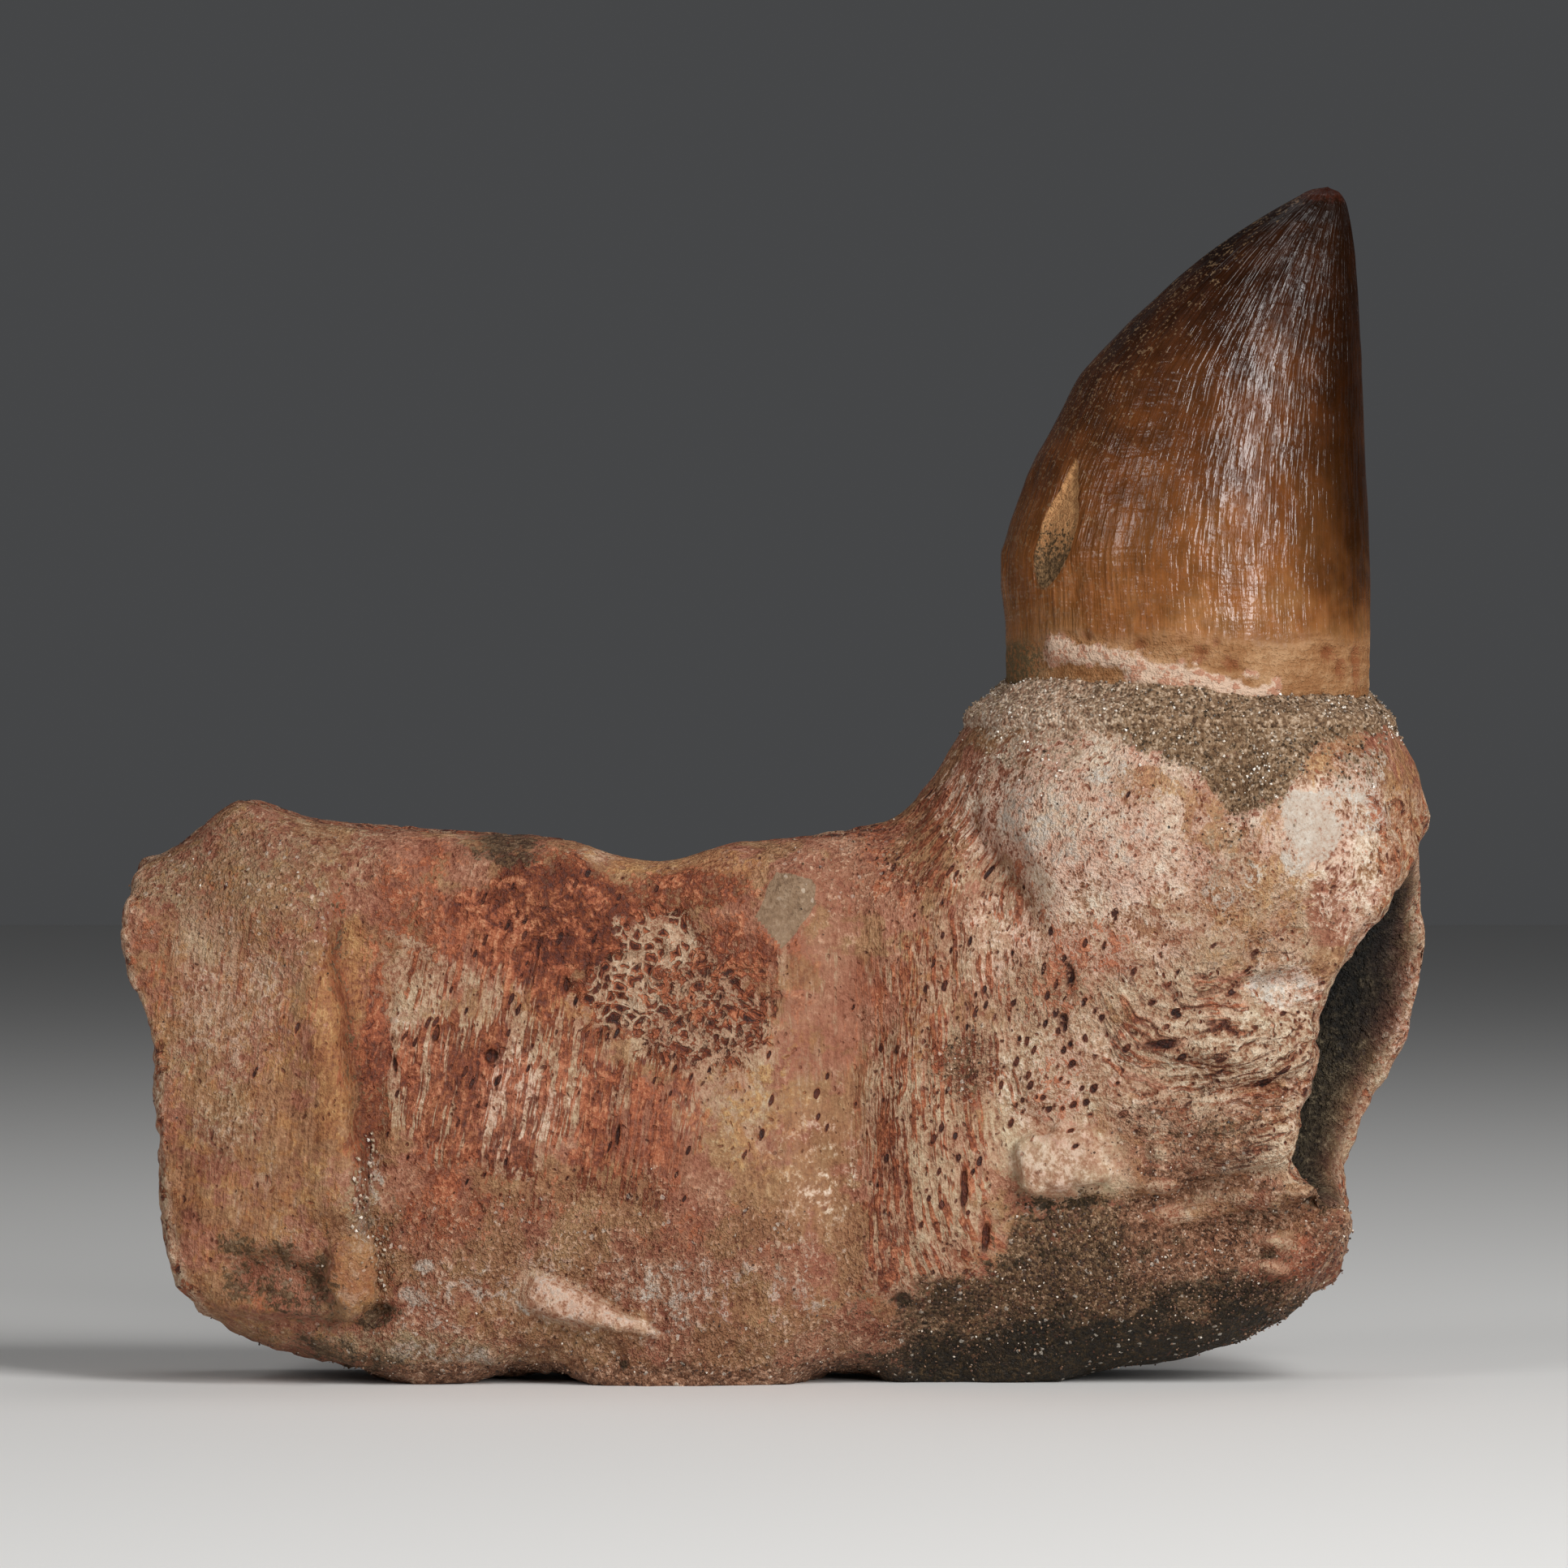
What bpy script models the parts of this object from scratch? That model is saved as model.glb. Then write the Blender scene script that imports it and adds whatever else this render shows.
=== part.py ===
"""Fossil jaw section with one tall tooth, standing on the broken lower edge of the jaw.

Three pieces: the jaw bone with the swollen bony foot of the tooth, the brown tooth crown that
stands on that foot, and the collar of sandy matrix that is packed round the crown's neck.
The bone is a loft of upright sections from the left broken end to the right one, closed by a
rough broken face at each end. The right face is hollowed by half of the next tooth's socket.

Lengths below are in millimetres. X runs along the jaw, the outer side faces -Y, and Z is up.
The origin is on the surface the fossil stands on, under the middle of its box.
"""

import itertools

import bmesh
import bpy
import numpy as np

MM = 0.001

# Heights that fit the pieces together
PLATFORM_Z = 70.5
SEAT_GAP = 0.3
NECK_FOOT_Z = PLATFORM_Z + SEAT_GAP
TIP_Z = 127.9

# Upper and lower silhouette of the bone, as x, z
TOP_EDGE = [
    (-70.0, 53.2), (-66.7, 56.0), (-62.8, 58.3), (-60.6, 60.6), (-58.0, 62.5), (-54.1, 61.0),
    (-49.3, 59.7), (-40.6, 58.9), (-24.9, 58.2), (-21.4, 57.7), (-17.9, 56.2), (-14.5, 55.7),
    (-10.1, 56.2), (-5.7, 57.6), (-0.5, 58.0), (6.4, 58.8), (11.7, 59.8), (15.1, 62.3),
    (16.9, 64.6), (18.6, 67.6), (19.9, 70.3), (22.5, 75.0), (61.5, 75.0), (64.8, 70.8),
    (66.6, 69.0), (67.8, 67.2), (69.0, 63.7), (69.3, 60.0),
]
BOTTOM_EDGE = [
    (-70.0, 20.0), (-66.0, 14.0), (-64.6, 11.5), (-62.4, 8.0), (-57.3, 4.5), (-50.2, 2.6),
    (-43.9, 0.8), (-40.0, -1.5), (-35.0, -1.5), (-31.0, 0.8), (-24.0, 0.9), (-19.0, -2.5),
    (-8.0, -4.0), (0.0, -2.5), (4.0, 0.6), (9.0, 0.7), (13.0, -2.5), (22.0, -3.5), (28.0, -1.0),
    (37.8, 1.3), (45.4, 2.8), (50.8, 4.5), (55.3, 8.0), (59.0, 11.5), (62.0, 16.0),
]

# Left and right silhouette of the bone, as z, x
LEFT_EDGE = [
    (4.5, -58.2), (8.0, -63.2), (13.2, -65.4), (18.5, -66.1), (31.5, -66.3), (35.9, -66.6),
    (39.4, -68.2), (47.2, -70.0), (53.3, -70.1), (55.2, -69.0), (57.0, -65.5),
]
RIGHT_EDGE = [
    (1.5, 37.8), (4.5, 51.6), (8.0, 56.6), (11.2, 60.0), (15.0, 61.0), (17.6, 61.8), (20.2, 60.9),
    (25.4, 62.2), (30.6, 64.2), (34.1, 66.4), (39.4, 68.4), (44.6, 70.1), (48.1, 71.1),
    (51.5, 71.0), (53.5, 70.3), (57.0, 69.5), (61.1, 69.5), (65.5, 68.7), (69.0, 66.8),
    (70.7, 65.3), (72.4, 63.8), (76.0, 63.0),
]

# The near wall of the empty socket is broken off further left than the far wall, as z, x
NEAR_RIM = [
    (4.5, 51.6), (8.0, 56.6), (11.0, 59.4), (15.0, 60.4), (18.0, 60.4), (20.5, 57.8),
    (23.0, 53.6), (26.7, 54.9), (30.2, 56.2), (34.6, 57.1), (38.9, 57.6), (43.3, 58.7),
    (46.3, 60.4), (49.4, 63.0), (52.4, 65.8), (54.5, 68.6), (60.0, 69.5),
]
SOCKET_MIDDLE = (0.8, 36.8)
SOCKET_HALF_WIDTH = 11.0
SOCKET_HALF_HEIGHT = 17.0
SOCKET_FLOOR_X = 45.0

# Where the walls stop and the two end faces begin
LEFT_RIM = [
    (0.0, -57.0), (8.0, -60.6), (14.0, -63.2), (20.0, -64.8), (35.0, -65.5), (42.0, -68.0),
    (50.0, -69.0), (56.0, -67.0),
]
LEFT_SLANT = 3.0
LEFT_FACE_MIDDLE = (0.0, 33.0)
RIM_INSET = 0.8
TURNED_UNDER = (4.0, 50.3)
DOME_RIM_X = 61.0

# The tooth's bony foot is a swollen column: its left side and its two half depths, by z
FOOT_LEFT = [
    (0.0, 9.0), (30.0, 9.0), (50.0, 10.5), (61.0, 13.1), (65.6, 16.9), (70.3, 19.5), (76.0, 22.6),
]
FOOT_FRONT = [
    (0.0, 10.0), (6.0, 13.2), (14.0, 16.0), (30.0, 17.6), (46.0, 19.0), (57.0, 20.8),
    (63.0, 20.6), (67.0, 19.4), (71.0, 17.6), (76.0, 16.6),
]
FOOT_BACK = [
    (0.0, 11.0), (10.0, 14.5), (30.0, 16.2), (48.0, 18.2), (60.0, 20.2), (65.0, 19.8),
    (71.0, 17.8), (76.0, 16.6),
]

# Low forms of the two faces: x, z, half width, half height, tilt in degrees, rise
OUTER_FORMS = [
    (31.7, 60.0, 9.0, 7.5, 0, 1.1),
    (57.5, 59.5, 6.5, 7.5, 0, 0.9),
    (46.5, 65.5, 3.6, 6.0, 0, -1.6),
    (22.5, 54.5, 3.6, 8.0, 28, -1.5),
    (29.9, 23.6, 5.4, 3.2, 8, 2.0),
    (17.0, 30.0, 5.0, 22.0, 0, 1.3),
    (5.6, 34.0, 4.6, 22.0, 0, -1.3),
    (46.0, 17.6, 11.0, 3.8, -6, -2.2),
    (50.0, 36.5, 7.0, 3.2, 8, 1.4),
    (49.0, 27.0, 7.0, 3.2, 14, 1.6),
    (-21.4, 7.6, 6.5, 1.9, -22, 1.6),
    (0.2, 50.2, 3.0, 4.2, -25, 0.8),
    (-53.5, 11.4, 5.5, 2.9, -8, -2.0),
    (-14.0, 45.0, 9.0, 7.0, 0, -1.0),
    (-30.0, 20.0, 12.0, 3.0, -5, -0.8),
]
INNER_FORMS = [
    (40.0, 30.0, 12.0, 7.0, 0, 1.2),
    (-20.0, 24.0, 20.0, 6.0, 3, 1.3),
    (12.0, 44.0, 6.0, 9.0, -15, -2.2),
    (-33.0, 46.0, 9.0, 7.0, 0, -1.5),
    (52.0, 12.0, 9.0, 5.0, 20, -1.8),
    (42.0, 47.0, 5.0, 6.5, 0, -2.0),
]

# The empty pit in the jaw's top: x, y, half length, half width, depth
TROUGH = (-14.0, 0.5, 15.0, 5.8, 4.2)

# The crown's left and right silhouette and its half depth, by z
CROWN_LEFT = [
    (70.0, 23.6), (79.4, 23.7), (84.6, 23.3), (87.7, 23.2), (89.8, 23.7), (93.3, 24.8),
    (96.8, 26.1), (100.3, 27.9), (103.8, 29.8), (107.3, 31.6), (109.0, 33.0), (112.5, 36.3),
    (116.0, 40.0), (119.4, 43.9), (122.9, 48.7), (126.8, 55.2), (127.6, 56.8), (TIP_Z, 58.5),
]
CROWN_RIGHT = [
    (70.0, 62.9), (81.1, 62.9), (89.9, 62.8), (98.6, 62.4), (109.0, 62.1), (114.2, 61.8),
    (119.0, 61.5), (122.9, 61.1), (126.0, 60.5), (127.3, 59.7), (TIP_Z, 58.5),
]
CROWN_HALF_DEPTH = [
    (70.0, 14.4), (80.0, 15.0), (88.0, 14.8), (96.0, 13.6), (104.0, 11.7), (112.0, 9.2),
    (119.0, 6.5), (124.0, 4.2), (126.8, 2.4), (TIP_Z, 0.0),
]
CROWN_LEAN = 2.6
KEEL_RISE = 0.35

# The chip in the crown's outer side, a low form that goes inwards
CHIP = (29.6, 91.4, 2.3, 6.9, -17, 0.8)

# The matrix collar: its gap to the neck, its crest on the left and on the right, and its
# wedge of a section as shares of the way out and up
COLLAR_GAP = 0.35
COLLAR_CREST_LEFT_Z = 75.2
COLLAR_CREST_RIGHT_Z = 73.2
COLLAR_SECTION = [
    (0.0, 0.0), (0.5, 0.0), (0.84, 0.0), (0.64, 0.32), (0.36, 0.68), (0.16, 0.93), (0.0, 1.0),
]


def ramp(start, end, t):
    """0 at start and before, 1 at end and past it, with a smooth rise between them."""
    share = np.clip((t - start) / (end - start), 0, 1)
    return share * share * (3 - 2 * share)


def bell(t):
    """1 at 0, falling to nothing about 2 on either side."""
    return np.exp(-t * t)


def curve(points, at):
    """Monotone cubic through (position, value) points, level past both ends."""
    place, value = np.array(points, float).T
    width = np.diff(place)
    slope = np.diff(value) / width
    tangent = np.zeros_like(value)
    before, after = slope[:-1], slope[1:]
    same_way = before * after > 0
    tangent[1:-1][same_way] = 2 * (before * after)[same_way] / (before + after)[same_way]
    at = np.clip(at, place[0], place[-1])
    i = np.clip(np.searchsorted(place, at, side="right") - 1, 0, len(width) - 1)
    t = (at - place[i]) / width[i]
    return (
        (1 + 2 * t) * (1 - t) ** 2 * value[i]
        + t * (1 - t) ** 2 * width[i] * tangent[i]
        + t * t * (3 - 2 * t) * value[i + 1]
        + t * t * (t - 1) * width[i] * tangent[i + 1]
    )


LATTICE = np.random.default_rng(11).random((16, 16, 16)) * 2 - 1


def noise(points, wavelength):
    """Smooth lumps from -1 to 1: a seeded lattice of values, blended between its points."""
    scaled = points / wavelength
    cell = np.floor(scaled).astype(int)
    share = scaled - cell
    share = share * share * (3 - 2 * share)
    total = 0
    for corner in itertools.product((0, 1), repeat=3):
        weight = np.prod(np.where(corner, share, 1 - share), axis=-1)
        i, j, k = np.moveaxis((cell + corner) % 16, -1, 0)
        total = total + weight * LATTICE[i, j, k]
    return total


def low_forms(listed, x, z):
    """The summed rise of low oval forms on a face."""
    total = 0
    for middle_x, middle_z, half_width, half_height, tilt, rise in listed:
        c, s = np.cos(np.radians(tilt)), np.sin(np.radians(tilt))
        across = (x - middle_x) * c + (z - middle_z) * s
        along = (z - middle_z) * c - (x - middle_x) * s
        total = total + rise * bell(np.hypot(across / half_width, along / half_height) ** 2)
    return total


def larger(a, b, softness=2.4):
    """The larger of two depths, with a rounded join."""
    return (a + b + np.sqrt((a - b) ** 2 + softness**2)) / 2


def jaw_share(x, z):
    """The jaw wall rounds off at its top edge, past which only the tooth's foot goes on."""
    rounded = np.sqrt(np.clip(1 - np.clip((z - 46) / 15.5, 0, 1) ** 2, 0, 1))
    return 1 - ramp(-2, 15, x) * (1 - rounded)


def foot_depth(x, z, half_depths):
    """Half depth of the tooth's foot, which is an oval in plan at every height."""
    left = curve(FOOT_LEFT, z)
    right = np.maximum(curve(RIGHT_EDGE, z), 68.4 * ramp(60, 56, z))
    off_centre = (x - (left + right) / 2) / ((right - left) / 2)
    return curve(half_depths, z) * np.sqrt(np.clip(1 - off_centre**2, 0, 1))


def outer_depth(x, z):
    """Distance of the outer face from the middle plane.

    There is a shallow saddle in the middle of the jaw, and under the tooth the face turns
    under towards the broken lower edge.
    """
    jaw = 14.6 + 1.2 * bell((z - 26) / 20)
    jaw = jaw - 3.6 * ramp(-50, -70, x)
    jaw = jaw - 2.0 * bell((x + 10) / 22) * bell((z - 34) / 20)
    jaw = jaw - 7.0 * ramp(-4, 20, x) * ramp(15, -2, z) ** 1.5
    jaw = jaw - 2.0 * ramp(54, 66, z)
    return larger(jaw * jaw_share(x, z), foot_depth(x, z, FOOT_FRONT))


def inner_depth(x, z):
    """Distance of the inner face from the middle plane, with a shelf along its lower half."""
    jaw = 13.4 + 2.6 * ramp(41, 33, z) - 1.6 * ramp(10, -2, z)
    jaw = jaw + 2.2 * ramp(-38, -48, x) * ramp(14, 26, z) * ramp(62, 50, z)
    jaw = jaw - 3.0 * ramp(-52, -70, x) - 2.0 * ramp(50, 62, z)
    return larger(jaw * jaw_share(x, z), foot_depth(x, z, FOOT_BACK))


def outer_relief(x, z):
    """Rise of the outer face's details: the left plate with its ledge, and the low forms."""
    ledge_x = -44.0 - 3.6 * ramp(18, 52, z)
    plate = 2.3 * ramp(ledge_x + 0.8, ledge_x - 1.4, x) * ramp(6.5, 8.5, z) * ramp(59, 48, z)
    ledge = 1.7 * bell((x - ledge_x + 2.4) / 1.9) * ramp(6.6, 8.2, z) * ramp(52, 44, z)
    return plate + ledge + low_forms(OUTER_FORMS, x, z)


def rounded_square(count, power):
    """Even steps round a square, from the middle of its foot up the front, over and down the back.

    The square is rounded by the rule |a|^power + |b|^power = 1.
    """
    step = np.arange(count) / count
    corners = [0.0, 0.08, 0.44, 0.60, 0.91, 1.0]
    across = np.interp(step, corners, [0, 1, 1, -1, -1, 0])
    upward = np.interp(step, corners, [-1, -1, 1, 1, -1, -1])
    size = (np.abs(across) ** power + np.abs(upward) ** power) ** (-1 / power)
    return across * size, upward * size


def right_rim(z, nearness):
    """Where the walls stop on the right, with the near wall shorter than the far one."""
    far = curve(RIGHT_EDGE, z)
    near = np.minimum(curve(NEAR_RIM, z), far)
    rim = far + (near - far) * nearness - RIM_INSET
    rim = rim + (DOME_RIM_X - rim) * ramp(43, 56, z) * ramp(70, 65, z)
    low_z, low_x = TURNED_UNDER
    return rim + (low_x - rim) * ramp(low_z + 9, low_z, z)


def wall_rings(stations, around):
    """Upright sections of the wall, from the left rim to the right one.

    Each section's foot and top are the silhouette's edges at that x, and its sides are the
    depths of the two faces. The rims lean, so x and z are found together in a few steps.
    """
    share = np.linspace(0, 1, stations)[:, None]
    across, upward = rounded_square(around, 7.5)
    nearness = ramp(-0.5, 0.5, across)
    x = -66 + 130 * share + 0 * across
    for _ in range(30):
        low, high = curve(BOTTOM_EDGE, x), curve(TOP_EDGE, x)
        z = (low + high) / 2 + (high - low) / 2 * upward
        left_rim = curve(LEFT_RIM, z) + 0.8 * LEFT_SLANT * (1 - nearness)
        target = (1 - share) * left_rim + share * right_rim(z, nearness)
        x = (x + target) / 2
    depth = np.where(across > 0, outer_depth(x, z), inner_depth(x, z))
    return np.stack([x, -across * depth, z], axis=-1)


def left_face(y, z):
    """The left broken face: rough, and slanting back towards the inner side."""
    x = curve(LEFT_EDGE, z) + LEFT_SLANT * ramp(-6, 14, y)
    return x + 0.9 * bell(np.hypot(y / 8, (z - 30) / 14) ** 2)


def right_face(y, z, rim_x):
    """The right end round the socket: broken walls below, and the tooth's round foot above."""
    far = curve(RIGHT_EDGE, z)
    near = np.minimum(curve(NEAR_RIM, z), far)
    broken = near + (far - near) * ramp(-6.0, 6.0, y)
    foot_left = curve(FOOT_LEFT, z)
    half = np.where(y < 0, curve(FOOT_FRONT, z), curve(FOOT_BACK, z))
    bulge = np.sqrt(np.clip(1 - (y / half) ** 2, 0, 1))
    swollen = (far + foot_left) / 2 + (far - foot_left) / 2 * bulge
    return broken + (np.maximum(swollen, rim_x) - broken) * ramp(54.0, 58.0, z)


def relaxed(rings, rounds=2):
    """Rings eased half way towards the mean of their four neighbours, which opens out tight folds."""
    for _ in range(rounds):
        inner = rings[1:-1]
        beside = np.roll(inner, 1, axis=1) + np.roll(inner, -1, axis=1) + rings[:-2] + rings[2:]
        rings = np.concatenate([rings[:1], (inner + beside / 4) / 2, rings[-1:]])
    return rings


def left_end(rim, shares):
    """Rings of the left broken face, from the rim in to the middle, with a worn edge."""
    x, y, z = rim.T
    middle_y, middle_z = LEFT_FACE_MIDDLE
    rings = []
    for share in shares:
        ring_y, ring_z = middle_y + (y - middle_y) * share, middle_z + (z - middle_z) * share
        reach = (1 - share**7) ** (1 / 7)
        ring_x = x + (left_face(ring_y, ring_z) - x) * reach
        rings.append(np.stack([ring_x, ring_y, ring_z], axis=-1))
    return rings


def right_end(rim, lip_shares, hollow_shares):
    """Rings of the right end: over the broken lip to the socket's mouth, then into its hollow."""
    x, y, z = rim.T
    across, upward = rounded_square(len(rim), 3.2)
    middle_y, middle_z = SOCKET_MIDDLE
    mouth_y = middle_y - SOCKET_HALF_WIDTH * across
    mouth_z = middle_z + SOCKET_HALF_HEIGHT * upward
    rings = []
    for share in lip_shares:
        ring_y, ring_z = y + (mouth_y - y) * share, z + (mouth_z - z) * share
        lip = right_face(ring_y, ring_z, x)
        reach = (1 - (1 - share) ** 5) ** 0.5
        ring_x = x + (lip - x) * reach - 0.7 * ramp(0.8, 1, share)
        rings.append(np.stack([ring_x, ring_y, ring_z], axis=-1))
    mouth_x = rings[-1][:, 0]
    for share in hollow_shares:
        ring_y = middle_y + (mouth_y - middle_y) * share
        ring_z = middle_z + (mouth_z - middle_z) * share
        depth = (1 - share**3.2) ** (1 / 3.2)
        lumps = noise(np.stack([ring_y, ring_z, 0 * ring_y], axis=-1), 7.0)
        ring_x = mouth_x + (SOCKET_FLOOR_X + 1.5 * lumps - mouth_x) * depth
        rings.append(np.stack([ring_x, ring_y, ring_z], axis=-1))
    return rings


def trough(x, y, z):
    """Depth of the empty pit in the jaw's top, between the tooth and the left end."""
    middle_x, middle_y, half_length, half_width, depth = TROUGH
    on_top = ramp(0, 3, z - (curve(TOP_EDGE, x) - 6))
    off_middle = np.hypot((x - middle_x) / half_length, (y - middle_y) / half_width)
    return depth * on_top * bell(off_middle**2)


def bone_rings(stations, around, left_shares, lip_shares, hollow_shares):
    """The whole bone as rings of points, and the two end points that close it."""
    walls = wall_rings(stations, around)
    left = left_end(walls[0], left_shares)
    right = right_end(walls[-1], lip_shares, hollow_shares)
    rings = relaxed(np.concatenate([left[::-1], walls, right]))
    left_pole = (left_face(*LEFT_FACE_MIDDLE), *LEFT_FACE_MIDDLE)
    poles = np.array([left_pole, (SOCKET_FLOOR_X, *SOCKET_MIDDLE)])

    x, y, z = np.moveaxis(rings, -1, 0)
    lumps = 0.55 * noise(rings, 9.0) + 0.35 * noise(rings, 4.5)
    sideways = ramp(2, 8, np.abs(y))
    row = np.arange(len(rings))[:, None]
    rows_past_rim = np.maximum(len(left) - row, row - len(left) - stations + 1)
    broken = ramp(0, 3, rows_past_rim) * ramp(2, 10, z) * ramp(62, 54, z)
    x = x + 0.9 * noise(rings + 40, 5.0) * broken
    relief = np.where(y < 0, outer_relief(x, z), low_forms(INNER_FORMS, x, z))
    y = y + (lumps + relief) * sideways * np.sign(y)
    z = z + 0.5 * lumps * (1 - sideways) - trough(x, y, z)
    return np.stack([x, y, np.clip(z, 0, PLATFORM_Z)], axis=-1), poles


def crown_outline(z, turn):
    """Points round the crown at a height: an oval with a keel down its two narrow edges."""
    left, right = curve(CROWN_LEFT, z), curve(CROWN_RIGHT, z)
    keel_rise = KEEL_RISE * ramp(76, 84, z) * ramp(127.5, 122, z)
    half_width = (right - left) / 2 - keel_rise * (1 - bell(np.sin(turn) / 0.16))
    half_depth = curve(CROWN_HALF_DEPTH, z) * (1 - 0.1 * np.cos(turn) ** 2)
    x = (left + right) / 2 + half_width * np.cos(turn)
    return x, CROWN_LEAN * ramp(80, 135, z) + half_depth * np.sin(turn)


def turns(count):
    """Even steps of one full turn."""
    return np.arange(count) / count * 2 * np.pi


def crown_rings(levels, around):
    """Level rings of the crown, closer together towards the worn tip, and its two end points."""
    rise = 1 - (1 - np.linspace(0, 1, levels + 1)[:-1, None]) ** 1.7
    z = NECK_FOOT_Z + (TIP_Z - NECK_FOOT_Z) * rise + np.zeros(around)
    x, y = crown_outline(z, turns(around))
    y = y + low_forms([CHIP], x, z) * ramp(0, -6, y)
    foot = (43.2, 0.0, NECK_FOOT_Z)
    tip = (58.5, CROWN_LEAN * ramp(80, 135, TIP_Z), TIP_Z)
    return np.stack([x, y, z], axis=-1), np.array([foot, tip])


def collar_rings(around):
    """Loops of the matrix collar: it fills the step between the crown's neck and the bone's edge."""
    turn = turns(around)
    neck_x, neck_y = crown_outline(np.full(around, NECK_FOOT_Z), turn)
    left, right = curve(FOOT_LEFT, PLATFORM_Z), curve(RIGHT_EDGE, PLATFORM_Z)
    bone_x = (left + right) / 2 + (right - left) / 2 * np.cos(turn)
    front, back = curve(FOOT_FRONT, PLATFORM_Z), curve(FOOT_BACK, PLATFORM_Z)
    bone_y = np.sin(turn) * np.where(turn > np.pi, front, back)
    inner_x, inner_y = neck_x + COLLAR_GAP * np.cos(turn), neck_y + COLLAR_GAP * np.sin(turn)
    share_right = (1 + np.cos(turn)) / 2
    crest = COLLAR_CREST_LEFT_Z + (COLLAR_CREST_RIGHT_Z - COLLAR_CREST_LEFT_Z) * share_right
    crest = crest + 0.35 * np.sin(3 * turn + 1.0) + 0.25 * np.sin(7 * turn)
    loops = []
    for outward, rise in COLLAR_SECTION:
        x = inner_x + (bone_x - inner_x) * outward
        y = inner_y + (bone_y - inner_y) * outward
        loops.append(np.stack([x, y, NECK_FOOT_Z + (crest - NECK_FOOT_Z) * rise], axis=-1))
    return np.array(loops)


def skin(name, rings, poles=None):
    """A closed skin over rings of points. Two poles close its ends, or else it is itself a ring."""
    count, around = rings.shape[:2]
    points = rings.reshape(-1, 3)
    index = np.arange(count * around).reshape(count, around)
    nearer = index if poles is None else index[:-1]
    further = np.roll(index, -1, axis=0)[: len(nearer)]
    quads = [nearer, further, np.roll(further, -1, axis=1), np.roll(nearer, -1, axis=1)]
    faces = np.stack(quads, axis=-1).reshape(-1, 4).tolist()
    if poles is not None:
        for ring, pole in ((index[0], len(points)), (index[-1], len(points) + 1)):
            fan = [ring, np.roll(ring, -1), np.full(around, pole)]
            faces += np.stack(fan, axis=-1).tolist()
        points = np.vstack([points, poles])
    mesh = bpy.data.meshes.new(name)
    mesh.from_pydata((points * MM).tolist(), [], faces)
    shell = bmesh.new()
    shell.from_mesh(mesh)
    bmesh.ops.triangulate(shell, faces=shell.faces, quad_method="SHORT_EDGE")
    bmesh.ops.recalc_face_normals(shell, faces=shell.faces)
    shell.to_mesh(mesh)
    shell.free()
    mesh.shade_smooth()
    mesh.set_sharp_from_angle(angle=np.radians(50))
    return bpy.data.objects.new(name, mesh)


def finish(name, colour, roughness):
    """A plain material in the piece's own colour."""
    material = bpy.data.materials.new(name)
    material.use_nodes = True
    shader = material.node_tree.nodes["Principled BSDF"]
    shader.inputs["Base Color"].default_value = (*colour, 1)
    shader.inputs["Roughness"].default_value = roughness
    shader.inputs["Metallic"].default_value = 0.0
    return material


def jaw_bone():
    """The jaw with the tooth's swollen bony foot."""
    left_shares = [0.985, 0.93, 0.8, 0.6, 0.38, 0.17]
    lip_shares = [0.06, 0.2, 0.45, 0.75, 1.0]
    hollow_shares = [0.94, 0.84, 0.7, 0.52, 0.33, 0.16]
    piece = skin("jaw_bone", *bone_rings(62, 52, left_shares, lip_shares, hollow_shares))
    piece.data.materials.append(finish("stained_bone", (0.33, 0.17, 0.10), 0.85))
    return piece


def tooth_crown():
    """The brown crown with its pale neck."""
    piece = skin("tooth_crown", *crown_rings(25, 30))
    piece.data.materials.append(finish("brown_enamel", (0.16, 0.065, 0.022), 0.3))
    return piece


def matrix_collar():
    """The sandy matrix packed round the neck."""
    piece = skin("matrix_collar", collar_rings(44))
    piece.data.materials.append(finish("sandy_matrix", (0.26, 0.19, 0.12), 0.95))
    return piece


def main():
    for old in list(bpy.data.objects):
        bpy.data.objects.remove(old)
    fossil = bpy.data.collections.new("fossil_jaw_section")
    bpy.context.scene.collection.children.link(fossil)
    for make in (jaw_bone, tooth_crown, matrix_collar):
        fossil.objects.link(make())


main()
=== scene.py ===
import itertools
from types import SimpleNamespace
import bpy
import numpy as np
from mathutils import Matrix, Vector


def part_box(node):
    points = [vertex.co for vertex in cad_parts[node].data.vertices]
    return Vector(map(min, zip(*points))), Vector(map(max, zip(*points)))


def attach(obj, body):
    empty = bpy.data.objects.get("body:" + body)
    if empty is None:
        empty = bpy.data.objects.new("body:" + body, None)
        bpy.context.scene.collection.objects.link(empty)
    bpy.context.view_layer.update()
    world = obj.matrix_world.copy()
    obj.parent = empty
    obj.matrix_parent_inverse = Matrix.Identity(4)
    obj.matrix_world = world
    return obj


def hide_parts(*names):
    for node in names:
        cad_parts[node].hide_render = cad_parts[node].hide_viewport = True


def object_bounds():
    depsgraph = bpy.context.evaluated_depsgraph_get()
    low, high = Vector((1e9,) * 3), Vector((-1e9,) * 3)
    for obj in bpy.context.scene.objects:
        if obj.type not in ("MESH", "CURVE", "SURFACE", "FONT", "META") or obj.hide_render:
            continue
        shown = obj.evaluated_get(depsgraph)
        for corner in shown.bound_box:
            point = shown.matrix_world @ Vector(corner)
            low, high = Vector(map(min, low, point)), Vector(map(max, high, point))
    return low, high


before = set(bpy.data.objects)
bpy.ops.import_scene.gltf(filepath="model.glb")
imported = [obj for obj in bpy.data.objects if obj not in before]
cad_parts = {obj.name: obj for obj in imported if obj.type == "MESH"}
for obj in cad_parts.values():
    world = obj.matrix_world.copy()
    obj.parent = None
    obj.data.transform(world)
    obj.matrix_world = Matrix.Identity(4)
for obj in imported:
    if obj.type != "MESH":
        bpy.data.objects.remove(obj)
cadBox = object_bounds()
mm = 0.001
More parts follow.
